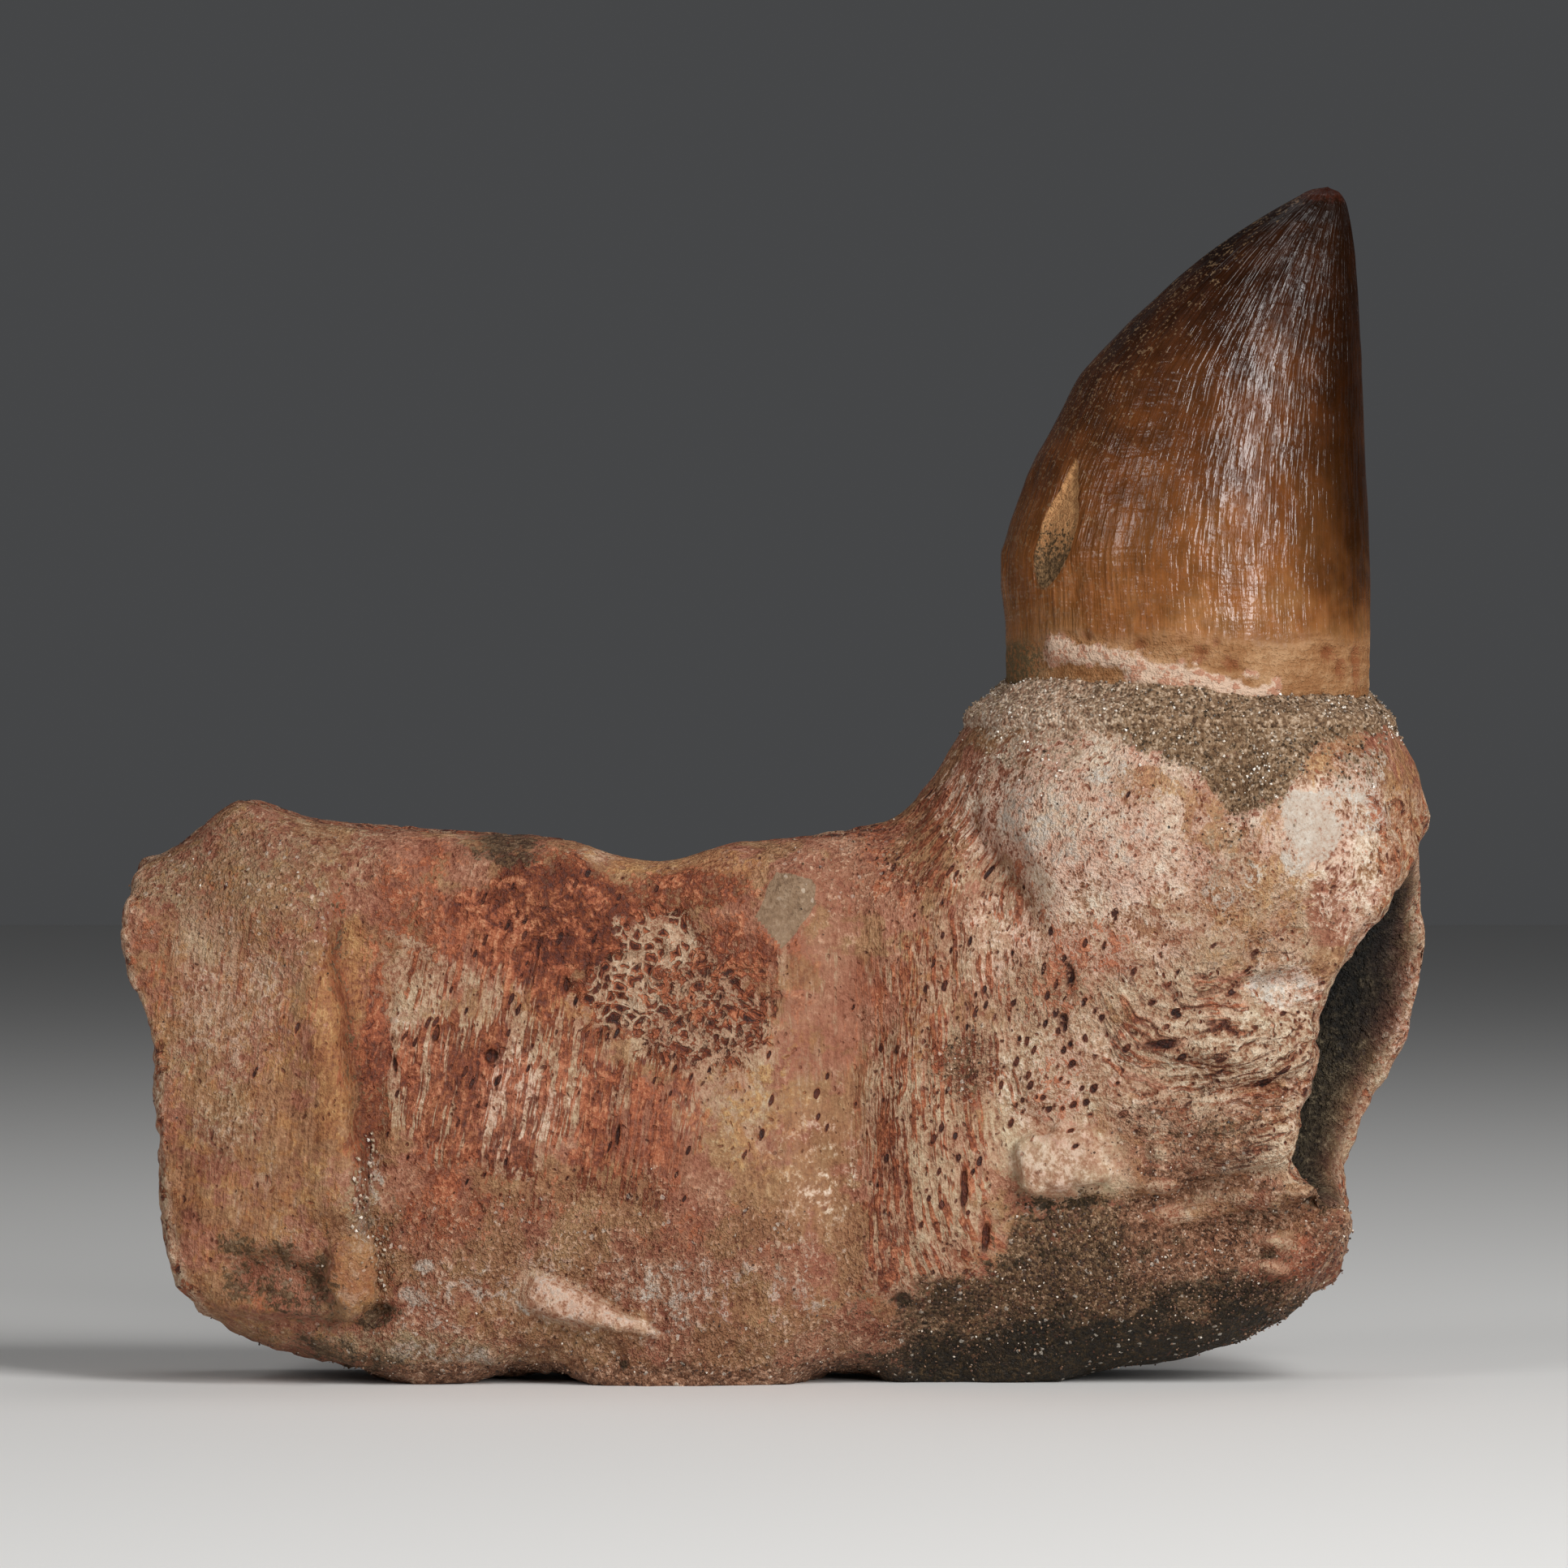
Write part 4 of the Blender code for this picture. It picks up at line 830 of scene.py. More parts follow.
# rise of the fine relief along the outward direction, from the masks
def boneDetail(points, fibre, masks):
    x, y, z = np.moveaxis(points, -1, 0)
    rises, roughness = jawBone["rises"], jawBone["roughness"]
    sandless, halfSandless = 1 - masks["sand"], 1 - 0.5 * masks["sand"]
    bare = sandless * (1 - masks["silt"])
    bare = bare * (1 - 0.75 * masks["smooth"]) * (1 - masks["putty"])
    bend = 0.5 * fineNoise(points, 3.0)[..., None] * np.array([1, 0, 0])
    narrow = fineNoise(fibre + bend, (0.9, 0.9, 6.0))
    wider = fineNoise(fibre + bend + 3, (1.7, 1.7, 12.0))
    strands = 0.55 * narrow + 0.45 * wider
    crests = 1 - 2.6 * np.abs(fineNoise(fibre + bend, (1.35, 4.0, 12.0)))
    crests = crests * (0.8 + 0.35 * fineNoise(fibre, (1.6, 3.0, 6.0)))
    # colours follow the relief: hollows between strands are stained, crests stay pale
    masks["groove"] = np.clip(0.5 - 0.75 * strands, 0, 1)
    masks["ridge"] = masks["levelFibre"] * np.clip(0.5 + 0.6 * crests, 0, 1) * bare

    strandRise = rises["strand"] * strands * masks["fibrous"]
    detail = bare * (strandRise + layered(points, roughness["lumps"]))
    detail = detail + rises["crest"] * crests * masks["levelFibre"] * halfSandless
    detail = detail + masks["grit"] * layered(points, roughness["grit"])
    grains = layered(points, roughness["sandGrains"])
    grains = grains + layered(points, roughness["crustLumps"]) * (1 - masks["neckTone"])
    packed = rises["crust"] + rises["neckSand"] * masks["neckTone"]
    detail = detail + masks["sand"] * (packed + grains)
    detail = detail + rises["pore"] * ramp(-0.1, 0.75, masks["pore"]) * sandless
    holes = ramp(0.05, 0.5, fineNoise(points, 1.5) + 0.5 * fineNoise(points, 2.9))
    detail = detail + rises["sponge"] * masks["spongy"] * holes * halfSandless

    crease = ovalField(x + 0.5 * noise(points, 4.0), z, *jawBone["crease"])
    ragged = layered(points, roughness["edges"])
    crisp = crispRise(x, z, ragged)
    crisp = crisp + rises["splinter"] * ramp(0.0, 0.5, splinterField(x, z, ragged))
    crisp = crisp + rises["crease"] * ramp(-0.4, 0.9, crease)
    detail = detail + crisp * (y < 0)
    low = ramp(7.0, 3.0, z) * ramp(12, 0, x) * ramp(0, -2, y)
    crumbs = layered(points, roughness["crumbs"])
    detail = detail + np.maximum(masks["broken"], low) * crumbs
    return detail + masks["silt"] * layered(points, roughness["silt"])


# the coarse rings of the whole jaw, from the left face's middle to the socket's floor
def coarseJaw():
    walls = wallRings(jawShape["stations"], jawShape["around"])
    rings = [leftEnd(walls[0])[::-1], walls, rightEnd(walls[-1])]
    rings = relaxed(np.concatenate(rings))
    leftPole = (leftFace(*jawShape["leftMiddle"]), *jawShape["leftMiddle"])
    floorPole = (jawShape["socketFloorX"], *jawShape["socketMiddle"])
    caps = [np.tile(np.array(pole), (1, rings.shape[1], 1)) for pole in (leftPole, floorPole)]
    return np.concatenate([caps[0], rings, caps[1]])


# coarse places of the fine rows, from (coarse place, fine number) pairs
def finePlaces(listed):
    place, number = np.array(listed).T
    return np.interp(np.arange(number[-1]), number, place)


# the coarse jaw made dense, then moved by its lumps, forms, pit and fine relief
def makeJawBone():
    rowPlaces, columnPlaces = finePlaces(jawBone["rowPlaces"]), finePlaces(jawBone["columnPlaces"])
    fine = resample(coarseJaw(), rowPlaces, False)
    fine = np.swapaxes(resample(np.swapaxes(fine, 0, 1), columnPlaces, True), 0, 1)
    x, y, z = np.moveaxis(fine, -1, 0)
    row = rowPlaces[:, None] + 0 * x
    lumps = 0.55 * noise(fine, 9.0) + 0.35 * noise(fine, 4.5)
    sideways = ramp(2, 8, np.abs(y))
    pastRim = np.maximum(7 - row, row - 68)
    x = x + 0.9 * noise(fine + 40, 5.0) * ramp(0, 3, pastRim) * ramp(2, 10, z) * ramp(62, 54, z)
    relief = np.where(y < 0, outerRelief(x, z), lowForms(jawShape["innerForms"], x, z))
    y = y + (lumps + relief) * sideways * np.sign(y)
    z = z + 0.5 * lumps * (1 - sideways) - troughDepth(x, y, z)
    fine = np.stack([x, y, z], -1)
    fibre = fibrePlaces(fine)
    masks = boneMasks(fine, row)
    fine = fine + boneDetail(fine, fibre, masks)[..., None] * gridNormals(fine)

    lowest, highest = inMillimetres(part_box("jaw_bone"))
    fine = np.clip(fine, lowest + (0.03, 0.03, 0), highest - 0.03)
    fine[..., 2] = np.clip(fine[..., 2], 0, jawShape["platform"])
    points = np.vstack([fine.reshape(-1, 3), fine[0].mean(0), fine[-1].mean(0)])
    ends = fibre[0].mean(0), fibre[-1].mean(0)
    shares = {"fibre": np.vstack([fibre.reshape(-1, 3), *ends])}
    for name, values in masks.items():
        if name != "broken":  # the material doesn't read it
            shares[name] = np.append(values.ravel(), [values[0].mean(), values[-1].mean()])
    piece = meshObject("jawBone", points, gridFaces(*fine.shape[:2]), shares)
    return piece, fine, masks


crownShape = {
    "foot": 70.55,
    "tip": 127.9,
    "left": [
        (70, 23.6), (79.4, 23.7), (84.6, 23.3), (87.7, 23.2), (89.8, 23.7), (93.3, 24.8),
        (96.8, 26.1), (100.3, 27.9), (103.8, 29.8), (107.3, 31.6), (109, 33), (112.5, 36.3),
        (116, 40), (119.4, 43.9), (122.9, 48.7), (126.8, 55.2), (127.6, 56.8), (127.9, 58.5),
    ],
    "right": [
        (70, 62.9), (81.1, 62.9), (89.9, 62.8), (98.6, 62.4), (109, 62.1), (114.2, 61.8),
        (119, 61.5), (122.9, 61.1), (126, 60.5), (127.3, 59.7), (127.9, 58.5),
    ],
    "halfDepth": [
        (70, 14.4), (80, 15), (88, 14.8), (96, 13.6), (104, 11.7), (112, 9.2), (119, 6.5),
        (124, 4.2), (126.8, 2.4), (127.9, 0),
    ],
    "lean": 2.6,
    "keelRise": 0.35,
    "chip": (29.3, 91.3, 1.9, 7.3, -15),  # x, z, half width, half height, tilt
    "chipDepth": 0.5,
    "levels": 205,
    "around": 230,
    "footMiddle": (43.2, 0),
    "tipPole": (58.5, 127.85),
    "enamelEdge": 79,
    # a flaky pale line across the neck: x and z of its two ends
    "flakeLine": (27.6, 78.4, 52.5, 72.8),
    "neckPits": [  # x, z, half width, half height
        (43.9, 77.4, 0.7, 0.9), (47.4, 76.5, 0.8, 0.7), (45.6, 78.6, 0.5, 0.5),
        (57.8, 77.4, 0.7, 0.7), (59.3, 76, 0.5, 1), (61, 76.2, 0.4, 2.4), (37.6, 78.6, 0.7, 0.5),
        (32, 79.4, 0.6, 0.5),
    ],
}


# an oval at each height, with a keel where the sine of the turn is near 0
def crownOutline(z, turn):
    left, right = curve(crownShape["left"], z), curve(crownShape["right"], z)
    keel = crownShape["keelRise"] * ramp(76, 84, z) * ramp(127.5, 122, z)
    halfWidth = (right - left) / 2 - keel * (1 - bell(np.sin(turn) / 0.16))
    halfDepth = curve(crownShape["halfDepth"], z) * (1 - 0.1 * np.cos(turn) ** 2)
    x = (left + right) / 2 + halfWidth * np.cos(turn)
    return x, crownShape["lean"] * ramp(80, 135, z) + halfDepth * np.sin(turn)


# masks of the crown: how far up past the enamel's edge, the chip, the neck's flaky line and pits
def crownMasks(rings, turn):
    x, y, z = np.moveaxis(rings, -1, 0)
    small = fineNoise(rings, 1.1)
    edge = crownShape["enamelEdge"] + 0.7 * noise(rings, 5.0) + 0.5 * fineNoise(rings, 2.5)
    middleX, middleZ, halfWidth, halfHeight, tilt = crownShape["chip"]
    narrowed = halfWidth * (1 - 0.55 * ramp(90, 98, z) - 0.1 * ramp(88, 84, z))
    placed = (x + 0.15 * small, z + 0.15 * small, middleX, middleZ)
    chip = ovalField(*placed, narrowed, halfHeight, tilt)
    startX, startZ, endX, endZ = crownShape["flakeLine"]
    line = startZ + (endZ - startZ) * (x - startX) / (endX - startX)
    line = line + 0.5 * noise(rings, 4.0) + 0.25 * small
    width = 1.5 + 0.9 * fineNoise(rings, (3.0, 3.0, 1.2))
    flake = 1 - np.abs(z - line) / width
    flake = np.minimum(flake, np.minimum(x - startX, endX - x) / 2)
    pits = np.full_like(x, -1.0)
    for oval in crownShape["neckPits"]:
        pits = np.maximum(pits, ovalField(x + 0.3 * small, z + 0.3 * small, *oval, 0))
    front = y < 0
    masks = {
        "enamel": (z - edge) / 2,
        "chip": np.where(front, chip, -1.0),
        "flake": np.where(front, flake, -1.0),
        "neckPit": np.where(front, pits, -1.0),
        "side": np.cos(turn) + 0 * z,
        "front": ramp(15, -5, y),
    }
    return masks, small


# the oval sections stacked up to the tip, closer together towards it, with a fine relief
def makeToothCrown():
    count, around = crownShape["levels"], crownShape["around"]
    turn = np.arange(around) / around * 2 * np.pi
    rise = 1 - (1 - np.linspace(0, 1, count + 1)[:-1, None]) ** 1.5
    z = crownShape["foot"] + (crownShape["tip"] - crownShape["foot"]) * rise + 0 * turn
    x, y = crownOutline(z, turn)
    rings = np.stack([x, y, z], -1)
    outward = -gridNormals(rings)
    flow = np.stack([6 * np.cos(turn) + 0 * z, 6 * np.sin(turn) + 0 * z, z / 10], -1)
    masks, small = crownMasks(rings, turn)
    wander = noise(rings, 5.0)
    tipFade = ramp(127.6, 122, z)
    bumpy = ramp(-0.1, -0.6, np.cos(turn)) * ramp(80, 86, z) * ramp(108, 98, z)
    detail = 0.07 * wander + (0.04 + 0.10 * bumpy) * noise(rings + 9, 2.2)
    detail = detail + 0.035 * fineNoise(flow, (0.45, 0.45, 0.6))
    cement = 0.12 * fineNoise(rings, (5.0, 5.0, 0.9)) + 0.10 * small - 0.15
    below = ramp(0.3, -0.3, masks["enamel"])
    detail = detail + (cement - detail) * below
    detail = detail + 0.30 * ramp(0, 0.35, masks["flake"])
    detail = detail - 0.45 * ramp(-0.1, 0.6, masks["neckPit"])
    gritty = 0.16 * fineNoise(rings, 0.8) * ramp(92, 88, z)
    detail = detail + ramp(0.0, 0.3, masks["chip"]) * (gritty - crownShape["chipDepth"])
    rings = rings + (detail * tipFade)[..., None] * outward
    tipX, tipZ = crownShape["tipPole"]
    tipY = float(crownOutline(np.array(127.8), np.array(1.57))[1])
    foot = (*crownShape["footMiddle"], crownShape["foot"])
    points = np.vstack([rings.reshape(-1, 3), foot, (tipX, tipY, tipZ)])
    lowest, highest = inMillimetres(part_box("tooth_crown"))
    points[:, :2] = np.clip(points[:, :2], lowest[:2] + 0.01, highest[:2] - 0.01)
    ends = {"enamel": [-4, 20], "chip": [-1, -1], "flake": [-1, -1], "neckPit": [-1, -1]}
    shares = {"flow": np.vstack([flow.reshape(-1, 3), flow[0].mean(0), flow[-1].mean(0)])}
    for name, values in masks.items():
        shares[name] = np.append(values.ravel(), ends.get(name, [0, 0]))
    faces = [face[::-1] for face in gridFaces(count, around)]
    return meshObject("toothCrown", points, faces, shares)


collarShape = {
    "gap": -0.4,
    "foot": 70.3,
    "crestLeft": 75.2,
    "crestRight": 73.2,
    "around": 380,
    # outward share of the way from the neck to the bone's edge, and share of the crest's height
    "profile": [
        (0, 0), (0.5, 0), (0.9, -0.3), (0.99, -0.24), (1.02, -0.1), (1, 0.04), (0.94, 0.18),
        (0.82, 0.33), (0.66, 0.47), (0.5, 0.6), (0.36, 0.75), (0.24, 0.87), (0.12, 0.96), (0, 1),
    ],
    "steps": 36,
    "middleX": 43.2,
    "sectors": 120,
    "crumbs": [(0.20, 1, 0), (0.22, 2.2, 3)],
}


# distance from the neck's middle to the bone's outermost point just below its flat top, for
# each direction, smoothed over its neighbours
def rimReach(bone, angle):
    x, y, z = bone.reshape(-1, 3).T
    near = (z > 69.4) & (z < 70.45) & (x > 15)
    x, y = x[near] - collarShape["middleX"], y[near]
    count = collarShape["sectors"]
    sector = (np.arctan2(y, x) % (2 * np.pi) / (2 * np.pi) * count).astype(int)
    reach = np.zeros(count)
    np.maximum.at(reach, sector, np.hypot(x, y))
    reach = (np.roll(reach, 1) + 2 * reach + np.roll(reach, -1)) / 4
    middles = (np.arange(count) + 0.5) / count * 2 * np.pi
    return np.interp(angle, middles, reach, period=2 * np.pi)


# a wedge profile carried round the neck, from the neck's oval out to the bone's edge
def makeCollar(bone):
    shape = collarShape
    turn = np.arange(shape["around"]) / shape["around"] * 2 * np.pi
    neckX, neckY = crownOutline(np.full(len(turn), 70.8), turn)
    angle = np.arctan2(neckY, neckX - shape["middleX"])
    reach = rimReach(bone, angle) - 0.05
    boneX, boneY = shape["middleX"] + reach * np.cos(angle), reach * np.sin(angle)
    innerX, innerY = neckX + shape["gap"] * np.cos(turn), neckY + shape["gap"] * np.sin(turn)
    shareRight = (1 + np.cos(turn)) / 2
    crest = shape["crestLeft"] + (shape["crestRight"] - shape["crestLeft"]) * shareRight
    crest = crest + 0.35 * np.sin(3 * turn + 1.0) + 0.25 * np.sin(7 * turn) - 0.2
    place = np.linspace(0, len(shape["profile"]), shape["steps"], endpoint=False)
    outward, rise = np.array(shape["profile"] + shape["profile"][:1], float).T
    knots = np.arange(len(outward))
    outward = np.interp(place, knots, outward)[:, None]
    rise = np.interp(place, knots, rise)[:, None]
    x = innerX + (boneX - innerX) * outward
    y = innerY + (boneY - innerY) * outward
    z = shape["foot"] + (crest - shape["foot"]) * rise
    loops = np.stack([x, y, z], -1)
    normal = -gridNormals(np.concatenate([loops[-1:], loops, loops[:1]]))[1:-1]
    loose = np.maximum(ramp(0.02, 0.16, rise), ramp(0.93, 0.99, outward))
    crumbs = layered(loops, shape["crumbs"]) * loose
    loops = loops + crumbs[..., None] * normal
    shares = {"paleSand": paleSandShare(loops).ravel()}
    faces = [face[::-1] for face in gridFaces(*loops.shape[:2], closedRows=True)]
    return meshObject("matrixCollar", loops.reshape(-1, 3), faces, shares), loops, normal


sandGrains = {
    "neckCount": 12500,
    "neckSizes": (0.09, 0.21),
    "crustCount": 10500,
    "crustSizes": (0.07, 0.17),
    # patches of crystals: x, z, half width, half height, tilt, number of crystals
    "crystals": [(-44.2, 22, 1.3, 6.6, -8, 60), (-43, 13.5, 2.2, 4.2, 0, 40)],
    "crystalSizes": (0.12, 0.30),
    "strayed": 0.16,  # how far a grain may lie from its place on the grid
    "seeds": {"places": 31, "neck": 41, "crust": 43, "crystals": 47},
}


# angular grains: an octahedron with every corner moved at random, turned at random
def grainObject(name, middles, sizes, tones, seed):
    chance = np.random.default_rng(seed)
    corners = [(1, 0, 0), (-1, 0, 0), (0, 1, 0), (0, -1, 0), (0, 0, 1), (0, 0, -1)]
    count = len(middles)
    shapes = np.array(corners, float) * chance.uniform(0.65, 1.25, (count, 6, 1))
    shapes = shapes + chance.uniform(-0.22, 0.22, (count, 6, 3))
    turn = np.linalg.qr(chance.normal(size=(count, 3, 3)))[0]
    turn = turn * np.linalg.det(turn)[:, None, None]
    points = middles[:, None] + sizes[:, None, None] * (shapes @ turn)
    points = np.clip(points, *inMillimetres(cadBox)).reshape(-1, 3)
    sides = [(0, 2, 4), (2, 1, 4), (1, 3, 4), (3, 0, 4)]
    sides += [(2, 0, 5), (1, 2, 5), (3, 1, 5), (0, 3, 5)]
    faces = (np.array(sides) + 6 * np.arange(count)[:, None, None]).reshape(-1, 3).tolist()
    return meshObject(name, points, faces, {"tone": np.repeat(tones, 6)}, smooth=False)


# places on a grid chosen at random, each by its own weight
def scatter(grid, normal, weight, count, chance):
    pick = chance.choice(weight.size, count, p=weight.ravel() / weight.sum())
    middles = grid.reshape(-1, 3)[pick]
    strayed = sandGrains["strayed"]
    middles = middles + chance.uniform(-strayed, strayed, middles.shape)
    return middles, normal.reshape(-1, 3)[pick]


# area that each grid point stands for
def gridAreas(grid):
    alongRows = np.linalg.norm(np.gradient(grid, axis=0), axis=-1)
    alongColumns = np.linalg.norm(np.roll(grid, -1, axis=1) - grid, axis=-1)
    return alongRows * alongColumns


# pale grains on the collar and the sand round the neck
def makeNeckSand(bone, normal, area, masks, collar, collarNormal, chance):
    x, y, z = np.moveaxis(bone, -1, 0)
    weight = area * masks["sand"] * ramp(50, 60, z)
    weight = weight + 0.10 * area * masks["grit"] * ramp(50, 60, z) * (y < 0) * (x > 0)
    collarArea = gridAreas(collar) * (collar[..., 2] > collarShape["foot"] + 0.3)
    count = sandGrains["neckCount"]
    onCollar = int(count * collarArea.sum() / (collarArea.sum() + weight.sum()))
    first, firstOut = scatter(bone, normal, weight, count - onCollar, chance)
    second, secondOut = scatter(collar, collarNormal, collarArea, onCollar, chance)
    middles, out = np.vstack([first, second]), np.vstack([firstOut, secondOut])
    sizes = chance.uniform(*sandGrains["neckSizes"], len(middles))
    tones = np.clip(chance.random(len(middles)) + 0.22 * fineNoise(middles, 3.0), 0, 1)
    tones = tones + 0.45 * paleSandShare(middles) * np.maximum(0.88 - tones, 0)
    keep = middles[:, 2] > 55
    middles = (middles + 0.04 * out)[keep]
    return grainObject("neckSand", middles, sizes[keep], tones[keep], sandGrains["seeds"]["neck"])


# darker grains on the crust, and a few on the gritty bone
def makeCrustSand(bone, normal, area, masks, chance):
    x, y, z = np.moveaxis(bone, -1, 0)
    weight = area * masks["sand"] * ramp(55, 45, z) * ramp(0.9, 1.6, z)
    weight = weight * (1 - 0.85 * masks["grime"])
    weight = weight + 0.08 * area * masks["grit"] * (y < 0) * ramp(0.9, 1.6, z)
    weight = weight + 0.06 * area * masks["grit"] * (y > 0) * ramp(0.9, 1.6, z)
    weight = weight * (1 - masks["silt"]) * np.where(y > 0, 0.5, 1.0)
    middles, _ = scatter(bone, normal, weight, sandGrains["crustCount"], chance)
    sizes = chance.uniform(*sandGrains["crustSizes"], len(middles))
    tones = chance.random(len(middles))
    return grainObject("crustSand", middles, sizes, tones, sandGrains["seeds"]["crust"])


# clear crystals along the foot of the ledge
def makeCrystals(bone, normal, chance):
    x, y, z = np.moveaxis(bone, -1, 0)
    places = []
    for *oval, count in sandGrains["crystals"]:
        inside = ramp(-0.1, 0.6, ovalField(x, z, *oval))
        places.append(scatter(bone, normal, inside * (y < -5), count, chance))
    middles = np.vstack([place + 0.12 * outward for place, outward in places])
    sizes = chance.uniform(*sandGrains["crystalSizes"], len(middles))
    tones = chance.uniform(0.55, 0.97, len(middles))
    return grainObject("ledgeCrystals", middles, sizes, tones, sandGrains["seeds"]["crystals"])


# all loose grains, placed with one row of random draws
def makeGrains(bone, masks, collar, collarNormal):
    chance = np.random.default_rng(sandGrains["seeds"]["places"])
    normal, area = gridNormals(bone), gridAreas(bone)
    neck = makeNeckSand(bone, normal, area, masks, collar, collarNormal, chance)
    crust = makeCrustSand(bone, normal, area, masks, chance)
    return neck, crust, makeCrystals(bone, normal, chance)


# a colour as it looks on screen, 0 to 255, made linear
def paint(red, green, blue):
    part = np.array([red, green, blue]) / 255
    linear = np.where(part <= 0.04045, part / 12.92, ((part + 0.055) / 1.055) ** 2.4)
    return (*linear.tolist(), 1)


# sockets of a node by name or number: another node's output is linked, a plain value is set
def setSockets(node, sockets):
    for label, value in sockets.items():
        if isinstance(value, bpy.types.NodeSocket):
            node.id_data.links.new(value, node.inputs[label])
        else:
            node.inputs[label].default_value = value


# a node in the given tree, or else in the tree of the outputs that it takes
def addNode(kind, sockets, tree=None, **settings):
    for value in sockets.values():
        if isinstance(value, bpy.types.NodeSocket):
            tree = value.id_data
    node = tree.nodes.new("ShaderNode" + kind)
    for label, value in settings.items():
        setattr(node, label, value)
    setSockets(node, sockets)
    return node


# one step of arithmetic on two or three values
def maths(operation, a, b=0, c=0):
    return addNode("Math", {0: a, 1: b, 2: c}, operation=operation).outputs[0]


# product of two or more values
def times(first, *others):
    for value in others:
        first = maths("MULTIPLY", first, value)
    return first


# a + b
def plus(a, b):
    return maths("ADD", a, b)


# a - b
def minus(a, b):
    return maths("SUBTRACT", a, b)


# the larger of a and b
def most(a, b):
    return maths("MAXIMUM", a, b)


# 1 where a value is above the limit, and 0 elsewhere
def above(value, limit):
    return maths("GREATER_THAN", value, limit)


# weighted sum of values: each value times its weight, added up
def blended(*weighted):
    total = times(*weighted[0])
    for value, weight in weighted[1:]:
        total = maths("MULTIPLY_ADD", value, weight, total)
    return total


# a value moved to and fro by a pattern: the pattern less its middle, times the reach, added
def swayed(value, pattern, reach, middle=0.5):
    return maths("MULTIPLY_ADD", minus(pattern, middle), reach, value)


# smooth step of a value between two limits
def level(value, low, high, start=0, end=1):
    sockets = {"Value": value, "From Min": low, "From Max": high, "To Min": start, "To Max": end}
    return addNode("MapRange", sockets, interpolation_type="SMOOTHSTEP").outputs[0]


# share of a stain: a smooth step where mask + pattern passes 1, so that the mask is the share
# of the surface that the stain covers and the pattern gives its edges
def covered(mask, pattern, soft=0.08):
    stained = level(plus(mask, pattern), 1 - soft, 1 + soft)
    return times(stained, level(mask, 0, 0.1))


# two colours mixed: a * (1 - part) + b * part, or another blend of the two
def mixColour(part, a, b, blend="MIX"):
    sockets = {0: part, 6: a, 7: b}
    return addNode("Mix", sockets, data_type="RGBA", blend_type=blend).outputs[2]


# two values mixed: a * (1 - part) + b * part
def mixValue(part, a, b):
    return addNode("Mix", {0: part, 2: a, 3: b}).outputs[0]


# an attribute of the mesh as a number
def maskOf(tree, name):
    return addNode("Attribute", {}, tree, attribute_name=name).outputs["Fac"]


# an attribute of the mesh as places
def placesOf(tree, name):
    return addNode("Attribute", {}, tree, attribute_name=name).outputs["Vector"]


# places on the object, in metres
def objectPlaces(tree):
    return addNode("TexCoord", {}, tree).outputs["Object"]


# the z of places
def heightOf(places):
    return addNode("SeparateXYZ", {0: places}).outputs[2]


# coordinates divided by a size along each axis; the unit is 1 where they're in millimetres
def sized(places, sizes, unit=mm, shift=0):
    sockets = {
        "Vector": places,
        "Scale": [size * unit for size in sizes],
        "Location": (shift * unit,) * 3,
    }
    return addNode("Mapping", sockets, vector_type="TEXTURE").outputs[0]


# fractal noise stretched so that it runs from about 0 to 1 round a middle of 0.5
def cloud(places, detail=3, roughness=0.6, reach=0.14):
    sockets = {"Vector": places, "Scale": 1, "Detail": detail, "Roughness": roughness}
    raw = addNode("TexNoise", sockets).outputs["Fac"]
    sockets = {"Value": raw, "From Min": 0.5 - reach, "From Max": 0.5 + reach}
    return addNode("MapRange", sockets).outputs[0]


# cloud patterns by name; each is listed with the kind of places that it lies on, its sizes,
# detail, roughness and shift, and every kind has its places and their unit
def cloudsOf(listed, kinds):
    made = SimpleNamespace()
    for name, (kind, sizes, detail, roughness, shift) in listed.items():
        places, unit = kinds[kind]
        setattr(made, name, cloud(sized(places, sizes, unit, shift), detail, roughness))
    return made


# cells round random places, with the distance to the nearest place or to the edge
def cells(places, feature="F1"):
    return addNode("TexVoronoi", {"Vector": places, "Scale": 1}, feature=feature)


# three numbers that each cell of a cell pattern has for itself
def cellChances(cell):
    return addNode("SeparateColor", {0: cell.outputs["Color"]}).outputs


# colours along a value, from (place, colour) pairs
def colourSteps(value, stops):
    node = addNode("ValToRGB", {"Fac": value})
    elements = node.color_ramp.elements
    while len(elements) < len(stops):
        elements.new(0.5)
    for element, (place, colour) in zip(elements, stops):
        element.position = place
        element.color = colour
    return node.outputs["Color"]


# four tones of one stain, from its dark flecks to its light ones
def fourTones(value, tones):
    places = (0.06, 0.36, 0.66, 0.94)
    return colourSteps(value, [(place, paint(*tone)) for place, tone in zip(places, tones)])


# a colour lighter and darker with a pattern: two factors at 0.1 and 0.9 of it, by a share
def shaded(colour, pattern, dark, light, share):
    shade = colourSteps(pattern, [(0.1, (*dark, 1)), (0.9, (*light, 1))])
    return mixColour(share, colour, shade, "MULTIPLY")


# a vector moved by another one times a length
def moved(vector, shift, length):
    scaled = addNode("VectorMath", {0: shift, "Scale": length}, operation="SCALE")
    return addNode("VectorMath", {0: vector, 1: scaled.outputs[0]}).outputs[0]


# a pattern's contrast raised round its middle: the value times the gain, about 0.5
def raised(value, gain):
    return maths("MULTIPLY_ADD", value, gain, 0.5 - 0.5 * gain)


# a material and its shader
def newMaterial(name):
    material = bpy.data.materials.new(name)
    material.use_nodes = True
    return material, material.node_tree.nodes["Principled BSDF"]


